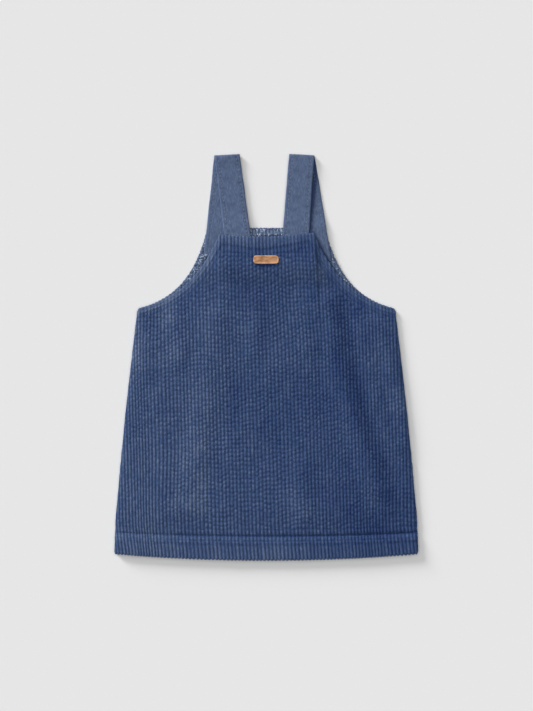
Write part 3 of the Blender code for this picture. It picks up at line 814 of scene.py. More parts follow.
# How high each point of a leg lies: its share of the climb onto the back's cloth, and of the fold's spring.
LegPoint = namedtuple("LegPoint", "y rise spring")
LEG = [LegPoint(*row) for row in (
    (128.0, 1.0, 0.0), (143.8, 1.0, 0.1), (150.0, 0.57, 0.5), (157.0, 0.15, 0.5),
    (164.0, 0.0, 0.45), (180.0, 0.0, 0.4), (195.0, 0.0, 0.4), (208.0, 0.0, 0.5))]


def strap_stations(strap):
    """Rows of centre x, y, z, lean, tilt and half width, from the back leg's end to the front leg's."""
    stations = []

    def lean_to(end_x, end_y):
        return math.atan2(strap.fold_x - end_x, strap.fold_y - end_y)

    def add(x, y, z, lean, tilt):
        down = (strap.fold_y - y) / (strap.fold_y - BACK_LEG_END_Y)
        stations.append((x, y, z, lean, tilt, 0.5 * mix(STRAP_FOLD_WIDTH, STRAP_END_WIDTH, down)))

    def add_leg(points, end_x, end_y, front, tilt):
        for point in points:
            x = mix(end_x, strap.fold_x, (point.y - end_y) / (strap.fold_y - end_y))
            z = 0.5 * STRAP_THICK + point.rise * (BACK_WALL + SEAM_GAP)
            z += front * (STRAP_THICK + SEAM_GAP + strap.spring * point.spring)
            add(x, point.y, z, lean_to(end_x, end_y), tilt)

    add_leg([LEG[0]._replace(y=strap.end_y), *LEG], strap.back_x, BACK_LEG_END_Y, 0.0, 0.0)
    leans = lean_to(strap.back_x, BACK_LEG_END_Y), lean_to(strap.front_x, FRONT_LEG_END_Y)
    turn_y = strap.fold_y - FOLD_RADIUS - 0.5 * STRAP_THICK
    for step in range(FOLD_TURN_STEPS + 1):
        tilt = math.pi * step / FOLD_TURN_STEPS
        lean = mix(*leans, (step / FOLD_TURN_STEPS) ** strap.twist)
        reach = FOLD_RADIUS * math.sin(tilt)
        add(strap.fold_x + reach * math.sin(lean), turn_y + reach * math.cos(lean),
            0.5 * STRAP_THICK + FOLD_RADIUS * (1.0 - math.cos(tilt)), lean, tilt)
    add_leg([*LEG[::-1], LEG[0]._replace(y=FRONT_LEG_END_Y)], strap.front_x, FRONT_LEG_END_Y, 1.0, math.pi)
    return np.array(stations)


def along_of(line):
    """How far along a line each of its points is."""
    return np.concatenate([[0.0], np.cumsum(np.linalg.norm(np.diff(line, axis=0), axis=1))])


strap_lengths = [float(along_of(strap_stations(strap)[:, :3])[-1]) for strap in STRAPS]
print("straps are", *(round(length) for length in strap_lengths), "mm long")

# %% The band
BAND_STEP = 0.8
HALF_ACROSS = np.array([0.15, 0.3, 0.45, 0.6, 0.66, 0.7, 0.74, 0.8, 0.88, 0.95, 0.985, 1.0])
BAND_ACROSS = np.concatenate([-HALF_ACROSS[::-1], [0.0], HALF_ACROSS])
STITCH_INSET = 3.9  # from the band's edge to its topstitching
STRAP_STITCH = 4.0
END_TAPER, END_THIN = 13.0, 0.4  # the end inside the back is steamed thin
BAND_EDGE = 1.1
FOLD_SHADE, FOLD_SHADE_MORE, FOLD_SHADE_Y = 2.9, 3.2, 202.0  # its width, and how much wider it is at a height


def band_frame(strap):
    """Evenly spaced stations: centre, across, outward, half width, length so far, and the one at the fold."""
    stations = strap_stations(strap)
    length = along_of(stations[:, :3])
    turn = length[(stations[:, 4] > 0) & (stations[:, 4] < math.pi)]
    even = np.arange(0.0, length[-1], BAND_STEP)
    even = even[(even < turn[0] - 0.4) | (even > turn[-1] + 0.4)]
    places = np.sort(np.concatenate([even, turn, [length[-1]]]))
    x, y, z, lean, tilt, half = (np.interp(places, length, column) for column in stations.T)
    across = np.stack([np.cos(lean), -np.sin(lean), 0.0 * lean], axis=1)
    outward = np.stack([np.sin(tilt) * np.sin(lean), np.sin(tilt) * np.cos(lean), -np.cos(tilt)], axis=1)
    return np.stack([x, y, z], axis=1), across, outward, half, places, int(np.argmax(y))


def stitch_row(edge, places):
    """How near a point is to a row of topstitching, and to a hole between two stitches."""
    row = np.exp(-((edge - STITCH_INSET) / 0.7) ** 2)
    return row, row * (0.5 - 0.5 * np.cos(2.0 * math.pi * places / STRAP_STITCH)) ** 2


def band_thickness(aside, edge, places, seed):
    """Half of the band's thickness at each point of its sections."""
    row, hole = stitch_row(edge, places)
    thick = mix(0.3, 1.0, roll(edge, BAND_EDGE)) - row * (0.2 + 0.25 * hole)
    return 0.5 * STRAP_THICK * (thick + 0.05 * drift(seed, aside / 3.0, places / 5.0) * roll(edge, 2.0))


def fold_shade(strap, x, y):
    """Painted shade: 1 on the back leg just right of the front leg, where the fold keeps the light out,
    falling to 0.
    """
    centre, across, _, half, _, fold = band_frame(strap)
    right_edge = (centre[:, 0] + half * across[:, 0])[fold:]
    beyond = x - np.interp(y, centre[fold:, 1][::-1], right_edge[::-1])
    reach = FOLD_SHADE + FOLD_SHADE_MORE * hump((y - FOLD_SHADE_Y) / 60.0)
    return np.where(beyond > -6.0, fade((beyond / reach - 0.55) / 0.6), 0.0)


def make_band(strap):
    centre, across, outward, half, places, fold = band_frame(strap)
    half = (half + 0.18 * drift(strap.seed + 1, 0.0, places / 11.0))[:, None]
    aside = BAND_ACROSS * half
    edge = half - np.abs(aside)
    from_fold = (places - places[fold])[:, None]
    places = places[:, None]
    taper = mix(END_THIN, 1.0, soft_step(places / END_TAPER))
    thick = (band_thickness(aside, edge, places, strap.seed) * taper)[..., None] * outward[:, None]
    middle = centre[:, None] + aside[..., None] * across[:, None]
    points = np.concatenate([(middle + thick).reshape(-1, 3), (middle - thick).reshape(-1, 3)])
    points[:, 2] = np.maximum(points[:, 2], 0.0)
    count = aside.size
    vertex = np.arange(count).reshape(aside.shape)
    ring = np.concatenate([vertex[0], vertex[1:, -1], vertex[-1, -2::-1], vertex[-2:0:-1, 0]])
    after = np.roll(ring, -1)
    faces = np.concatenate([quads(vertex), quads(vertex)[:, ::-1] + count,
                            np.stack([after, ring, ring + count, after + count], axis=-1)])
    piece = link_piece(strap.name, points, faces.tolist())
    x, y, on_back_leg = middle[..., 0], middle[..., 1], from_fold < 0.0
    # Painted shade on the strap: beside the front leg and the front's armhole edge on the back leg, a dark
    # line along the fold's top edge, and the slit beside the left strap.
    shade = np.where(on_back_leg, np.maximum(fold_shade(strap, x, y), shade_beside_front(x, y, 3.0)), 0.0)
    shade = np.maximum(np.maximum(shade, 0.5 * hump(from_fold / 1.8)), strap_gap_shade(x, y))
    # Painted shade in the holes between the stitches, its strength varying along each row.
    hole_shade_strength = np.clip(0.6 + 0.9 * drift(strap.seed + 2, np.sign(aside), places / 15.0), 0.1, 1.0)
    hole_shade_strength = hole_shade_strength * np.where(on_back_leg, strap.marks ** 2, strap.marks)
    for name, values in (("across", aside), ("along", places + 0.0 * aside), ("shade", shade),
                         ("painted_highlight_from_left", half + aside), ("painted_shade_from_right", half - aside),
                         ("hole", stitch_row(edge, places)[1] * hole_shade_strength)):
        paint(piece, **{name: [values, values]})
    return piece


bands = [make_band(strap) for strap in STRAPS]

# %% [markdown]
# ## The tab
#
# A small piece of vegetable-tanned leather with rounded corners, pressed flat onto the ridges of the bib. Its
# face is pressed in slightly inside a narrow rim. It is left bare. A subdivided box would round its corners
# too much, so it is built from rings that shrink from the outline to the middle.

# %% The tab's rings
TAB_CENTRE = (-0.3, 107.6)
TAB_SIZE = (27.8, 9.2)
TAB_CORNER = 3.3
TAB_SINK = 0.12
TAB_SQUARE_X, TAB_SQUARE_Y = 6.0, 2.2  # how soon the outline leaves the short sides and the long sides
CAD_CREST = 0.8
TAB_INSETS = (0.35, 0.0, 0.0, 0.12, 0.4, 0.95, 1.2, 1.5, 2.6, 4.0)
TAB_HEIGHTS = (0.0, 0.25, 0.85, 1.08, 1.2, 1.2, 1.12, 1.06, 1.04, 1.04)
RING_POINTS = 96


def tab_outline(inset):
    """Points of a rectangle with round corners, the same number on each ring."""
    radius = max(0.05, TAB_CORNER - inset)
    reach_x, reach_y = (size / 2 - inset - radius for size in TAB_SIZE)
    turn = 2.0 * math.pi * (np.arange(RING_POINTS) + 0.5) / RING_POINTS
    x = radius * np.cos(turn) + reach_x * np.tanh(TAB_SQUARE_X * np.cos(turn)) / math.tanh(TAB_SQUARE_X)
    y = radius * np.sin(turn) + reach_y * np.clip(TAB_SQUARE_Y * np.sin(turn), -1.0, 1.0)
    return TAB_CENTRE[0] + x, TAB_CENTRE[1] + y


def tab_seat(x, y):
    """Height of the wale crests under the tab, as in the solids."""
    far = np.full_like(x, 500.0)
    spots = Spots(x, y, from_hem=y - HEM_Y, from_top=neck_y(FRONT, x) - y, from_side=far, alive=far, own=far)
    return front_inner(spots) + FRONT_WALL + CAD_CREST


def around(vertex):
    """Faces around a tube, whose rings of vertices are the rows."""
    return quads(np.column_stack([vertex, vertex[:, 0]])).tolist()


def make_tab():
    points = []
    for inset, height in zip(TAB_INSETS, TAB_HEIGHTS):
        x, y = tab_outline(inset)
        z = tab_seat(x, y) + SEAM_GAP - TAB_SINK + height + 0.05 * drift(71, x / 4.0, y / 3.0)
        points.append(np.stack([x, y, z], axis=1))
    vertex = np.arange(len(TAB_INSETS) * RING_POINTS).reshape(-1, RING_POINTS)
    # The middle is filled row by row between the facing halves of the last ring.
    low, high = np.split(vertex[-1], 2)
    middle = quads(np.stack([low, high[::-1]])).tolist()
    faces = around(vertex) + middle + [vertex[0][::-1].tolist()]
    piece = link_piece("tab_leather_piece", np.concatenate(points), faces)
    paint(piece, inset=np.repeat(TAB_INSETS, RING_POINTS), face=np.repeat(TAB_HEIGHTS, RING_POINTS) > 1.0)
    return piece


tab = make_tab()

# %% [markdown]
# ## Sewing
#
# A machine stitch shows as a short dash of thread that dives into the cloth at both ends. One dash is built
# once and copied in arrays along each seam line, and its height comes from a ray that looks down on the
# finished cloth, so it sits in the trough whatever the relief is. All the dashes of a seam are one mesh.


# %% Looking down on a piece
RAY_START = 0.1  # metres above the table


def ground_of(piece):
    mesh = piece.data
    mesh.calc_loop_triangles()
    return BVHTree.FromPolygons([v.co.copy() for v in mesh.vertices],
                                [tuple(t.vertices) for t in mesh.loop_triangles])


def heights_on(ground, x, y):
    down = Vector((0.0, 0.0, -1.0))
    found = [ground.ray_cast(Vector((a * MM, b * MM, RAY_START)), down)[0] for a, b in zip(x, y)]
    return np.array([np.nan if point is None else point.z / MM for point in found])


# %% One stitch, copied along a line
STITCH_LENGTH = 3.1
STITCH_GAP = 0.75
THREAD = 0.3
ROUND = 6
Station = namedtuple("Station", "share lift width")
DASH = [Station(*row) for row in (
    (0.0, -0.55, 0.55), (0.12, -0.02, 0.9), (0.35, 0.2, 1.0), (0.65, 0.2, 1.0), (0.88, -0.02, 0.9),
    (1.0, -0.55, 0.55))]


def at_places(line, places, length=None):
    """The x, y at some distances along a line."""
    length = along_of(line) if length is None else length
    return np.stack([np.interp(places, length, line[:, k]) for k in (0, 1)], axis=1)


def laid_on(ground, starts, ends, sink):
    """Start and end of each stitch on the cloth, as rows of x, y, z."""
    heights = [heights_on(ground, *mix(starts, ends, share).T) for share in (0.0, 0.25, 0.5, 0.75, 1.0)]
    rest = mix(np.nanmean(heights, axis=0), np.nanmax(heights, axis=0), 0.7) + 0.5 * THREAD - sink
    return np.column_stack([starts, rest]), np.column_stack([ends, rest])


def dashes_along(line, ground, sink):
    starts = at_places(line, np.arange(0.5 * STITCH_LENGTH, along_of(line)[-1], STITCH_LENGTH))
    ends = starts + (np.roll(starts, -1, axis=0) - starts) * (1.0 - STITCH_GAP / STITCH_LENGTH)
    return laid_on(ground, starts[:-1], ends[:-1], sink)


def rings(centre, aside, up, radius):
    """A ring of points about each centre."""
    turn = 2.0 * math.pi * np.arange(ROUND)[:, None] / ROUND
    return centre[:, None] + radius * (aside[:, None] * np.cos(turn) + up[:, None] * np.sin(turn))


def thread_mesh(name, starts, ends):
    """All the stitches of a seam as one mesh."""
    length = np.linalg.norm(ends - starts, axis=1, keepdims=True)
    direction = (ends - starts) / length
    up = np.tile([0.0, 0.0, 1.0], (len(starts), 1))
    aside = np.cross(direction, up)
    aside /= np.linalg.norm(aside, axis=1, keepdims=True)
    points = [rings(starts + direction * length * station.share + up * station.lift, aside, up,
                    THREAD * station.width) for station in DASH]
    vertex = np.arange(len(starts) * len(DASH) * ROUND).reshape(len(starts), len(DASH), ROUND)
    faces = [face for dash in vertex for face in around(dash)]
    faces += vertex[:, 0, ::-1].tolist() + vertex[:, -1].tolist()
    print(name, len(starts), "stitches")
    return link_piece(name, np.stack(points, axis=1).reshape(-1, 3), faces)


# %% Stitches of the front
HEM_SINK, BAND_SINK = 0.3, 0.9
HEM_SEAM_X = 161.0
CORNER_CLEAR = 3.0  # how far from the neck corners the band's seam starts
ARM_SEAM = (0.11, 0.985)  # the part of the armhole that its seam follows


def front_seams():
    x = np.linspace(-HEM_SEAM_X, HEM_SEAM_X, 300)
    yield np.column_stack([x, hem_line_y(x)]), HEM_SINK
    x = np.linspace(CORNER_CLEAR - FRONT.corner_x, FRONT.corner_x - CORNER_CLEAR, 120)
    yield np.column_stack([x, neck_line_y(x)]), BAND_SINK
    for side in (-1.0, 1.0):
        x, y = inner_line(FRONT, side, np.linspace(*ARM_SEAM, 160), ARMHOLE_BAND)
        yield np.column_stack([side * x, y]), BAND_SINK


front_ground = ground_of(front_cloth)
seams = [dashes_along(line, front_ground, sink) for line, sink in front_seams()]
front_stitches = thread_mesh("front_stitches", *(np.concatenate(side) for side in zip(*seams)))

# %% Stitches of the straps
BIB_TOP_Y, BACK_TOP_Y = 134.0, 143.0  # below these the straps are hidden
FOLD_CLEAR = 6.0
BACK_LEG_LEVEL = 2.9  # nothing of a back leg lies higher, above where it climbs over the back's edge
BACK_LEG_RISE, BACK_LEG_RISE_Y, BACK_LEG_RISE_LENGTH = 2.5, 164.0, 21.0


def strap_seams(strap, band):
    """The topstitched rows on the face of the front leg, and on what shows of the back leg."""
    ground = ground_of(band)
    centre, across, _, half, places, fold = band_frame(strap)
    marks = np.arange(0.5 * STRAP_STITCH, places[-1] - STRAP_STITCH, STRAP_STITCH)
    front = marks > places[fold]
    sink = 0.1 + np.where(front, 0.25, 0.7) * (1.0 - strap.marks)
    found = []
    for side in (-1.0, 1.0):
        line = centre[:, :2] + side * (half - STITCH_INSET)[:, None] * across[:, :2]
        starts, ends = (at_places(line, marks + shift, places)
                        for shift in (0.5 * STITCH_GAP, STRAP_STITCH - 0.5 * STITCH_GAP))
        kept = starts[:, 1] > np.where(front, BIB_TOP_Y, BACK_TOP_Y)
        kept &= np.abs(marks + 0.5 * STRAP_STITCH - places[fold]) > FOLD_CLEAR
        starts, ends = laid_on(ground, starts, ends, sink)
        # A ray meets the front leg first where it covers the back leg; those stitches are left out.
        climbed = soft_step((BACK_LEG_RISE_Y - starts[:, 1]) / BACK_LEG_RISE_LENGTH)
        kept &= front | (starts[:, 2] < BACK_LEG_LEVEL + BACK_LEG_RISE * climbed)
        found.append((starts[kept], ends[kept]))
    return [np.concatenate(side) for side in zip(*found)]


strap_thread = [thread_mesh(strap.node + "_stitches", *strap_seams(strap, band))
                for strap, band in zip(STRAPS, bands)]

# %% [markdown]
# The raw edges inside the back are overlocked: thread loops over the edge in a quick zigzag. Most of it
# sinks into the pile, so only flecks of the paler looper thread show. Each fleck is a short tube, cut out of
# one long zigzag. Darker loops hold the folded edge and give the outline its small teeth.

# %% Overlocked edges
Overlock = namedtuple("Overlock", "pitch inner outer thread shown")
FLECKS_LOW, FLECKS_HIGH, FLECKS_ARM, NECK_LOOPS, ARM_LOOPS = (Overlock(*row) for row in (
    (2.6, 9.4, 6.4, 0.46, 0.6), (2.3, 4.2, 1.6, 0.42, 0.54), (3.1, 4.6, 1.9, 0.5, 0.46),
    (3.6, 1.9, -0.4, 0.3, 1.0), (4.3, 2.2, -0.3, 0.44, 1.0)))
EDGE_LOOP_LEVEL = 1.1
LOOPS_CORNER_CLEAR, LOOPS_ARM = 2.0, (0.02, 0.97)
STRAP_END_REACH, STRAP_END_RISE = (14.0, 2.0), 3.6


def looped(line, inward, kind, seed):
    """A zigzag line between two distances from an edge line."""
    length = along_of(line)
    places = np.arange(0.0, length[-1], kind.pitch / 8.0)
    sway = soft_step(0.5 + 0.5 * np.cos(2.0 * math.pi * places / kind.pitch))
    offset = mix(kind.outer, kind.inner, sway)
    if kind.shown < 1.0:
        offset = offset + 0.9 * drift(seed, 0.0, places / 5.0)
    slide = places + 0.9 * drift(seed + 1, 0.0, places / 3.0)
    return at_places(line, slide, length) + offset[:, None] * at_places(inward, slide, length)


def sewn_over(edge, kind, seed, ground, covers):
    """The parts of a row of overlocking that show, laid on the cloth, or just above the table beside it."""
    zigzag = looped(*edge, kind, seed)
    shown = np.all([np.isnan(heights_on(cover, *zigzag.T)) for cover in covers], axis=0)
    if kind.shown < 1.0:
        shown &= drift(seed + 2, 0.0, np.arange(len(zigzag)) / 6.0) > 1.0 - 2.0 * kind.shown
    height = heights_on(ground, *zigzag.T)
    height = np.where(np.isnan(height), EDGE_LOOP_LEVEL, height + 0.5 * kind.thread)
    thread = np.column_stack([zigzag, height])
    runs = np.split(np.arange(len(thread)), np.flatnonzero(np.diff(shown.astype(int))) + 1)
    return [thread[run] for run in runs if shown[run[0]] and len(run) >= 3]


def tube(name, lines, radius):
    points, faces, base = [], [], 0
    for line in lines:
        heading = np.gradient(line, axis=0)
        heading /= np.linalg.norm(heading, axis=1, keepdims=True)
        aside = np.cross(heading, [0.0, 0.0, 1.0])
        aside /= np.maximum(np.linalg.norm(aside, axis=1, keepdims=True), 1e-6)
        points.append(rings(line, aside, np.cross(aside, heading), radius).reshape(-1, 3))
        vertex = base + np.arange(len(line) * ROUND).reshape(-1, ROUND)
        faces += around(vertex) + [vertex[0][::-1].tolist(), vertex[-1].tolist()]
        base += vertex.size
    return link_piece(name, np.concatenate(points), faces)


def back_edges():
    """The back's neck edge and armholes as lines, each with its inward direction."""
    x = np.linspace(LOOPS_CORNER_CLEAR - BACK.corner_x, BACK.corner_x - LOOPS_CORNER_CLEAR, 120)
    edges = [(np.column_stack([x, neck_y(BACK, x)]), np.tile([0.0, -1.0], (len(x), 1)))]
    for side in (-1.0, 1.0):
        x, y, run, rise = armhole(BACK, side, np.linspace(*LOOPS_ARM, 200))
        edges.append((np.column_stack([side * x, y]), np.column_stack([side * rise, -run])))
    return edges


def strap_end(strap):
    """A short line across the end of a strap's back leg, where it shows beside the armhole."""
    x = strap.back_x + math.copysign(1.0, strap.back_x) * np.linspace(*STRAP_END_REACH, 40)
    return np.column_stack([x, np.full(40, strap.end_y + STRAP_END_RISE)]), np.tile([0.0, -1.0], (40, 1))


back_ground = ground_of(back_cloth)
strap_grounds = [ground_of(band) for band in bands]
covers = [front_ground, *strap_grounds]
neck_edge, left_arm, right_arm = back_edges()


def sewn_on_back(*lines):
    return [part for seed, edge, kind in lines for part in sewn_over(edge, kind, seed, back_ground, covers)]


flecks = sewn_on_back((80, neck_edge, FLECKS_LOW), (85, neck_edge, FLECKS_HIGH),
                      (90, left_arm, FLECKS_LOW._replace(shown=0.42)), (95, right_arm, FLECKS_LOW),
                      (100, left_arm, FLECKS_ARM), (105, right_arm, FLECKS_ARM._replace(shown=0.36)))
flecks += sewn_over(strap_end(STRAPS[0]), FLECKS_HIGH._replace(shown=0.7), 113, strap_grounds[0], covers[:1])
overlock = tube("back_overlock", flecks, FLECKS_LOW.thread)
neck_loops = tube("back_neck_loops", sewn_on_back((101, neck_edge, NECK_LOOPS)), NECK_LOOPS.thread)
arm_loops = tube("back_arm_loops", sewn_on_back((104, left_arm, ARM_LOOPS), (107, right_arm, ARM_LOOPS)),
                 ARM_LOOPS.thread)

# %% [markdown]
# ## Finishes
#
# Every finish is a small tree of nodes. A picture of cloth wrapped on the mesh would need a layout for it
# and would blur up close, while noise and waves in the nodes stay sharp at any distance. The relief that
# shows from afar is already in the mesh, so the bump here is only yarn and pile.

# %% Node helpers
# The colour of painted shade.
SHADE_NAVY = (0.020, 0.038, 0.110, 1.0)


class Finish:
    """A material. Its methods add nodes and give back the socket that these end in."""

    def __init__(self, name):
        self.material = bpy.data.materials.new(name)
        self.material.use_nodes = True
        self.tree = self.material.node_tree

    def fill(self, node, values):
        """Sets the sockets of a node. A value that is a socket itself is linked."""
        for key, value in values.items():
            if isinstance(value, bpy.types.NodeSocket):
                self.tree.links.new(value, node.inputs[key])
            else:
                node.inputs[key].default_value = value

    def add(self, kind, values, out=0, **settings):
        node = self.tree.nodes.new("ShaderNode" + kind)
        for key, value in settings.items():
            setattr(node, key, value)
        self.fill(node, values)
        return node.outputs[out]

    def surface(self, colour, roughness, specular, sheen=0.0, normal=None, **more):
        """Joins a colour and the rest to the shader, and gives back the finished material."""
        values = {"Base Color": colour, "Roughness": roughness, "Specular IOR Level": specular,
                  "Sheen Weight": sheen, **({"Normal": normal} if normal else {}), **more}
        self.fill(self.tree.nodes["Principled BSDF"], values)
        return self.material

    def stored(self, name):
        return self.add("Attribute", {}, "Fac", attribute_name=name)

    def place(self, *scale):
        """Object coordinates, stretched by a scale for each axis."""
        spot = self.add("TexCoord", {}, "Object")
        return self.add("Mapping", {"Vector": spot, "Scale": scale or (1.0, 1.0, 1.0)})

    def noise(self, vector, scale, detail=2.0, roughness=0.5):
        values = {"Vector": vector, "Scale": scale, "Detail": detail, "Roughness": roughness}
        return self.add("TexNoise", values, "Fac")

    def wave(self, vector, scale, distortion, direction, **values):
        values = {"Vector": vector, "Scale": scale, "Distortion": distortion, **values}
        return self.add("TexWave", values, "Fac", bands_direction=direction)

    def calc(self, operation, first, second, third=0.0):
        return self.add("Math", {0: first, 1: second, 2: third}, operation=operation)

    def uneven(self, tone, noise, amount):
        """A tone that a noise makes lower and higher."""
        return self.calc("MULTIPLY_ADD", self.calc("SUBTRACT", noise, 0.5), amount, tone)

    def spread(self, value, start, end, low=0.0, high=1.0):
        return self.add("MapRange", {0: value, 1: start, 2: end, 3: low, 4: high})

    def grey(self, value):
        return self.add("CombineColor", {0: value, 1: value, 2: value})

    def ramp(self, factor, *stops):
        colours = self.add("ValToRGB", {"Fac": factor})
        elements = colours.node.color_ramp.elements
        elements.remove(elements[1])
        for index, (place, colour) in enumerate(stops):
            element = elements[0] if index == 0 else elements.new(place)
            element.position = place
            element.color = (*colour, 1.0)
        return colours

    def blend(self, share, first, second, kind="MIX"):
        return self.add("Mix", {0: share, 6: first, 7: second}, 2, data_type="RGBA", blend_type=kind)

    def tinted(self, colour, strength, low, high):
        """The colour made darker or lighter by a factor from low to high."""
        return self.blend(1.0, colour, self.grey(self.spread(strength, 0.0, 1.0, low, high)), "MULTIPLY")

    def with_painted_shade(self, colour):
        """The colour, going to a deep navy by the stored painted shade, where the cloth lies in shadow."""
        return self.blend(self.calc("MULTIPLY", self.stored("shade"), 0.93), colour, SHADE_NAVY)

    def bump(self, height, distance, strength):
        return self.add("Bump", {"Height": height, "Distance": distance, "Strength": strength})


# %% Corduroy pile
def corduroy_finish():
    finish = Finish("corduroy_blue")
    fibres = finish.noise(finish.place(1.0, 0.5, 1.0), 1100.0, 3.0, 0.6)
    tufts = finish.noise(finish.place(1.0, 0.8, 1.0), 380.0)
    tone = finish.calc("MULTIPLY_ADD", finish.stored("pile"), 0.5, 0.18)
    # The nap number also carries painted light and shade.
    tone = finish.calc("ADD", finish.stored("nap"), tone)
    tone = finish.uneven(finish.uneven(tone, tufts, 0.45), fibres, 0.8)
    tone = finish.calc("MULTIPLY_ADD", finish.stored("pressed"), 0.05, tone)
    colour = finish.ramp(tone, (0.0, (0.0115, 0.0285, 0.102)), (0.5, (0.045, 0.077, 0.166)),
                         (1.0, (0.145, 0.184, 0.280)))
    return finish.surface(colour, 0.95, 0.08, 0.12, finish.bump(fibres, 0.0004, 0.7),
                          **{"Sheen Roughness": 0.5, "Sheen Tint": (0.6, 0.72, 0.95, 1.0)})


# %% Wrong side of the corduroy
def wrong_side_finish():
    finish = Finish("corduroy_wrong_side")
    yarn = finish.wave(finish.place(), 420.0, 1.2, "Y", Detail=1.0)
    lint = finish.noise(finish.place(1.0, 0.7, 1.0), 300.0, 3.0, 0.65)
    pile = finish.stored("pile")
    plain = finish.ramp(pile, (0.0, (0.048, 0.074, 0.145)), (1.0, (0.084, 0.121, 0.210)))
    turned = finish.ramp(pile, (0.0, (0.059, 0.094, 0.186)), (1.0, (0.156, 0.211, 0.334)))
    colour = finish.tinted(finish.blend(finish.stored("band"), plain, turned), yarn, 0.9, 1.1)
    # The stored painted shade darkens the cloth beside the front's edge and in the slit by the left strap.
    colour = finish.with_painted_shade(finish.tinted(colour, lint, 0.6, 1.45))
    return finish.surface(colour, 0.9, 0.2, 0.15, finish.bump(yarn, 0.0003, 0.6))


# %% Strap twill
def twill_finish():
    finish = Finish("strap_twill")
    weave = finish.add("CombineXYZ", {0: finish.stored("across"), 1: finish.stored("along")})
    diagonal = finish.wave(weave, 0.42, 0.6, "DIAGONAL", Detail=1.0)
    slubs = finish.noise(finish.add("Mapping", {"Vector": weave, "Scale": (1.0, 0.3, 1.0)}), 0.7, 3.0)
    tone = finish.calc("MULTIPLY_ADD", diagonal, 0.3, 0.35)
    tone = finish.uneven(finish.uneven(tone, slubs, 1.3), finish.noise(weave, 0.14), 0.5)
    colour = finish.ramp(tone, (0.0, (0.038, 0.062, 0.130)), (0.5, (0.080, 0.1175, 0.212)),
                         (1.0, (0.144, 0.195, 0.312)))
    # Painted highlight along a band's left edge, which faces the low lamp, and painted shade along its right
    # edge.
    colour = finish.tinted(colour, finish.spread(finish.stored("painted_highlight_from_left"), 0.4, 2.2), 1.16, 1.0)
    colour = finish.tinted(colour, finish.spread(finish.stored("painted_shade_from_right"), 0.4, 1.9), 0.8, 1.0)
    # Painted shade in the stitch holes, then the stored painted shade.
    colour = finish.with_painted_shade(finish.tinted(colour, finish.stored("hole"), 1.0, 0.36))
    return finish.surface(colour, 0.85, 0.25, 0.12, finish.bump(diagonal, 0.0003, 0.6))


# %% Leather
def leather_finish():
    finish = Finish("tab_leather")
    pores = finish.add("TexVoronoi", {"Vector": finish.place(), "Scale": 1500.0}, "Distance")
    stains = finish.noise(finish.place(0.5, 1.0, 1.0), 260.0, 3.0)
    colour = finish.ramp(stains, (0.36, (0.34, 0.160, 0.070)), (0.64, (0.62, 0.325, 0.165)))
    colour = finish.tinted(colour, finish.spread(finish.stored("inset"), 0.9, 1.7), 1.22, 0.84)
    colour = finish.tinted(finish.tinted(colour, finish.stored("face"), 0.5, 1.0), pores, 0.85, 1.1)
    return finish.surface(colour, 0.55, 0.35, normal=finish.bump(pores, 0.0002, 0.5))


# %% Thread
def thread_finish(name, dark, light):
    finish = Finish(name)
    place = finish.place()
    twist = finish.wave(place, 900.0, 2.0, "DIAGONAL")
    colour = finish.ramp(finish.noise(place, 240.0), (0.35, dark), (0.65, light))
    return finish.surface(finish.tinted(colour, twist, 0.8, 1.15), 0.6, 0.3, 0.1)


def put_on(pieces, *finishes):
    for piece in pieces:
        for finish in finishes:
            piece.data.materials.append(finish)


put_on([front_cloth, back_cloth], corduroy_finish(), wrong_side_finish())
put_on(bands, twill_finish())
put_on([tab], leather_finish())
put_on([front_stitches, neck_loops],
       thread_finish("thread_navy", (0.016, 0.030, 0.078), (0.034, 0.058, 0.125)))
put_on([arm_loops], thread_finish("thread_dusk", (0.050, 0.082, 0.165), (0.120, 0.168, 0.285)))
put_on(strap_thread, thread_finish("thread_blue", (0.100, 0.140, 0.230), (0.175, 0.230, 0.345)))
put_on([overlock], thread_finish("thread_pale", (0.21, 0.28, 0.41), (0.49, 0.57, 0.71)))
print(len(bpy.data.materials), "finishes")

# %% [markdown]
# ## Fastening the pieces to the frame
#
# Each dressed piece takes the place of its plain solid and rides on the one body of the dress. Each cloth
# piece also prints its width, length and area as it lies.


# %% Ride and replace
def print_laid_size(piece):
    """Width, length and area of a piece of cloth as it lies, in metres."""
    across, along, _ = piece.dimensions
    area = sum(face.area * face.normal.z for face in piece.data.polygons if face.normal.z > 0.0)
    print(piece.name, "lies", round(across, 4), "by", round(along, 4), "m,", round(area, 4), "m2")


for piece in (front_cloth, back_cloth, *bands, tab, front_stitches, *strap_thread, overlock, neck_loops,
              arm_loops):
    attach(piece, "root")
for piece, node, slot in ((front_cloth, "front_panel", "corduroy_front"),
                          (back_cloth, "back_panel", "corduroy_back"), (tab, "label_tab", "tab_leather"),
                          *((band, strap.node, "strap_twill") for band, strap in zip(bands, STRAPS))):
    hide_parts(node)

bpy.context.view_layer.update()
for cloth in (front_cloth, back_cloth, *bands):
    print_laid_size(cloth)

# %% [markdown]
# ## Table, light and camera
#
# The dress lies on a plain pale table. A wide lamp stands low at the upper left, where it draws the wales and
# throws a soft shadow to the lower right. A broader one hangs overhead, and a faint sky fills the rest. Area
# lamps close by would also do, but their light fades across the table. These lamps are sun lamps with a wide
# disc, so it falls evenly. The camera looks straight down.

# %% The table
PAPER_GREY, PAPER_GRAIN = 0.79, 0.004
TABLE_HALF = 12000.0
TABLE_DROP = 0.1  # keeps the cloth's underside clear of the table


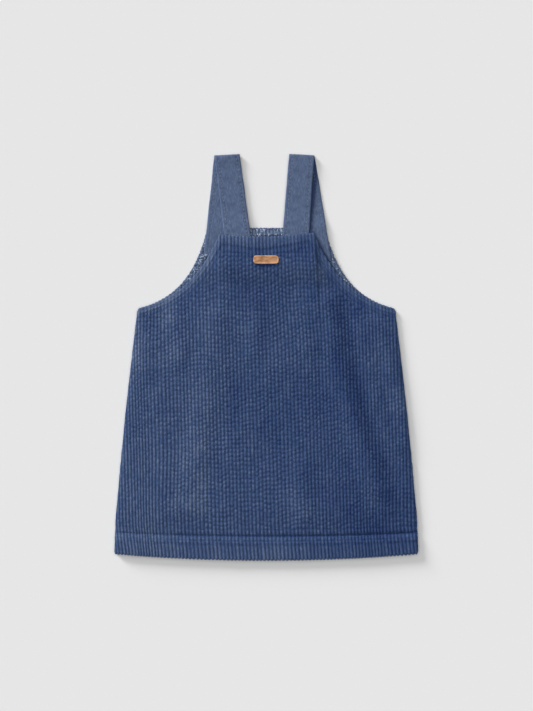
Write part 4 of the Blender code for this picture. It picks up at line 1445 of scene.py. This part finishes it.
def paper_finish():
    finish = Finish("table_paper")
    grain = finish.noise(finish.place(), 900.0)
    tone = finish.calc("MULTIPLY_ADD", grain, PAPER_GRAIN, PAPER_GREY - 0.5 * PAPER_GRAIN)
    return finish.surface(finish.grey(tone), 1.0, 0.0)


corners = [(x * TABLE_HALF, y * TABLE_HALF, -TABLE_DROP) for x, y in ((-1, -1), (1, -1), (1, 1), (-1, 1))]
table = link_piece("table", corners, [(0, 1, 2, 3)], smooth=[False])
put_on([table], paper_finish())

# %% Light
Lamp = namedtuple("Lamp", "name elevation azimuth spread share")  # share of the light on the table
LAMPS = (
    Lamp("low_lamp", elevation=18.5, azimuth=136.0, spread=21.0, share=0.345),
    Lamp("overhead_lamp", elevation=86.0, azimuth=136.0, spread=75.0, share=0.557),
)
SKY_SHARE = 0.10

for lamp in LAMPS:
    elevation, azimuth = math.radians(lamp.elevation), math.radians(lamp.azimuth)
    light = bpy.data.lights.new(lamp.name, "SUN")
    light.energy = lamp.share * math.pi / math.sin(elevation)
    light.angle = math.radians(lamp.spread)
    stand = put(lamp.name, light)
    stand.location = (math.cos(elevation) * math.cos(azimuth), math.cos(elevation) * math.sin(azimuth),
                      math.sin(elevation))
    stand.rotation_mode = "QUATERNION"
    stand.rotation_quaternion = stand.location.to_track_quat("Z", "Y")
sky = bpy.data.worlds.new("sky")
sky.use_nodes = True
sky.node_tree.nodes["Background"].inputs["Color"].default_value = (1.0, 1.0, 1.0, 1.0)
sky.node_tree.nodes["Background"].inputs["Strength"].default_value = SKY_SHARE
bpy.context.scene.world = sky
bpy.context.scene.view_settings.view_transform = "Standard"

# %% Camera
CAMERA_X, CAMERA_Y, CAMERA_HEIGHT = 0.00022, 0.002475, 2.0
VIEW_HEIGHT = 0.7821  # what the camera takes in from top to bottom, at the cloth
CLOTH_LEVEL = 0.004

lens = bpy.data.cameras.new("camera")
lens.sensor_width = 36.0
lens.lens = lens.sensor_width * CAMERA_HEIGHT / VIEW_HEIGHT
camera = put("camera", lens)
camera.location = (CAMERA_X, CAMERA_Y, CLOTH_LEVEL + CAMERA_HEIGHT)
bpy.context.scene.camera = camera
print("lens", round(lens.lens, 1), "mm")
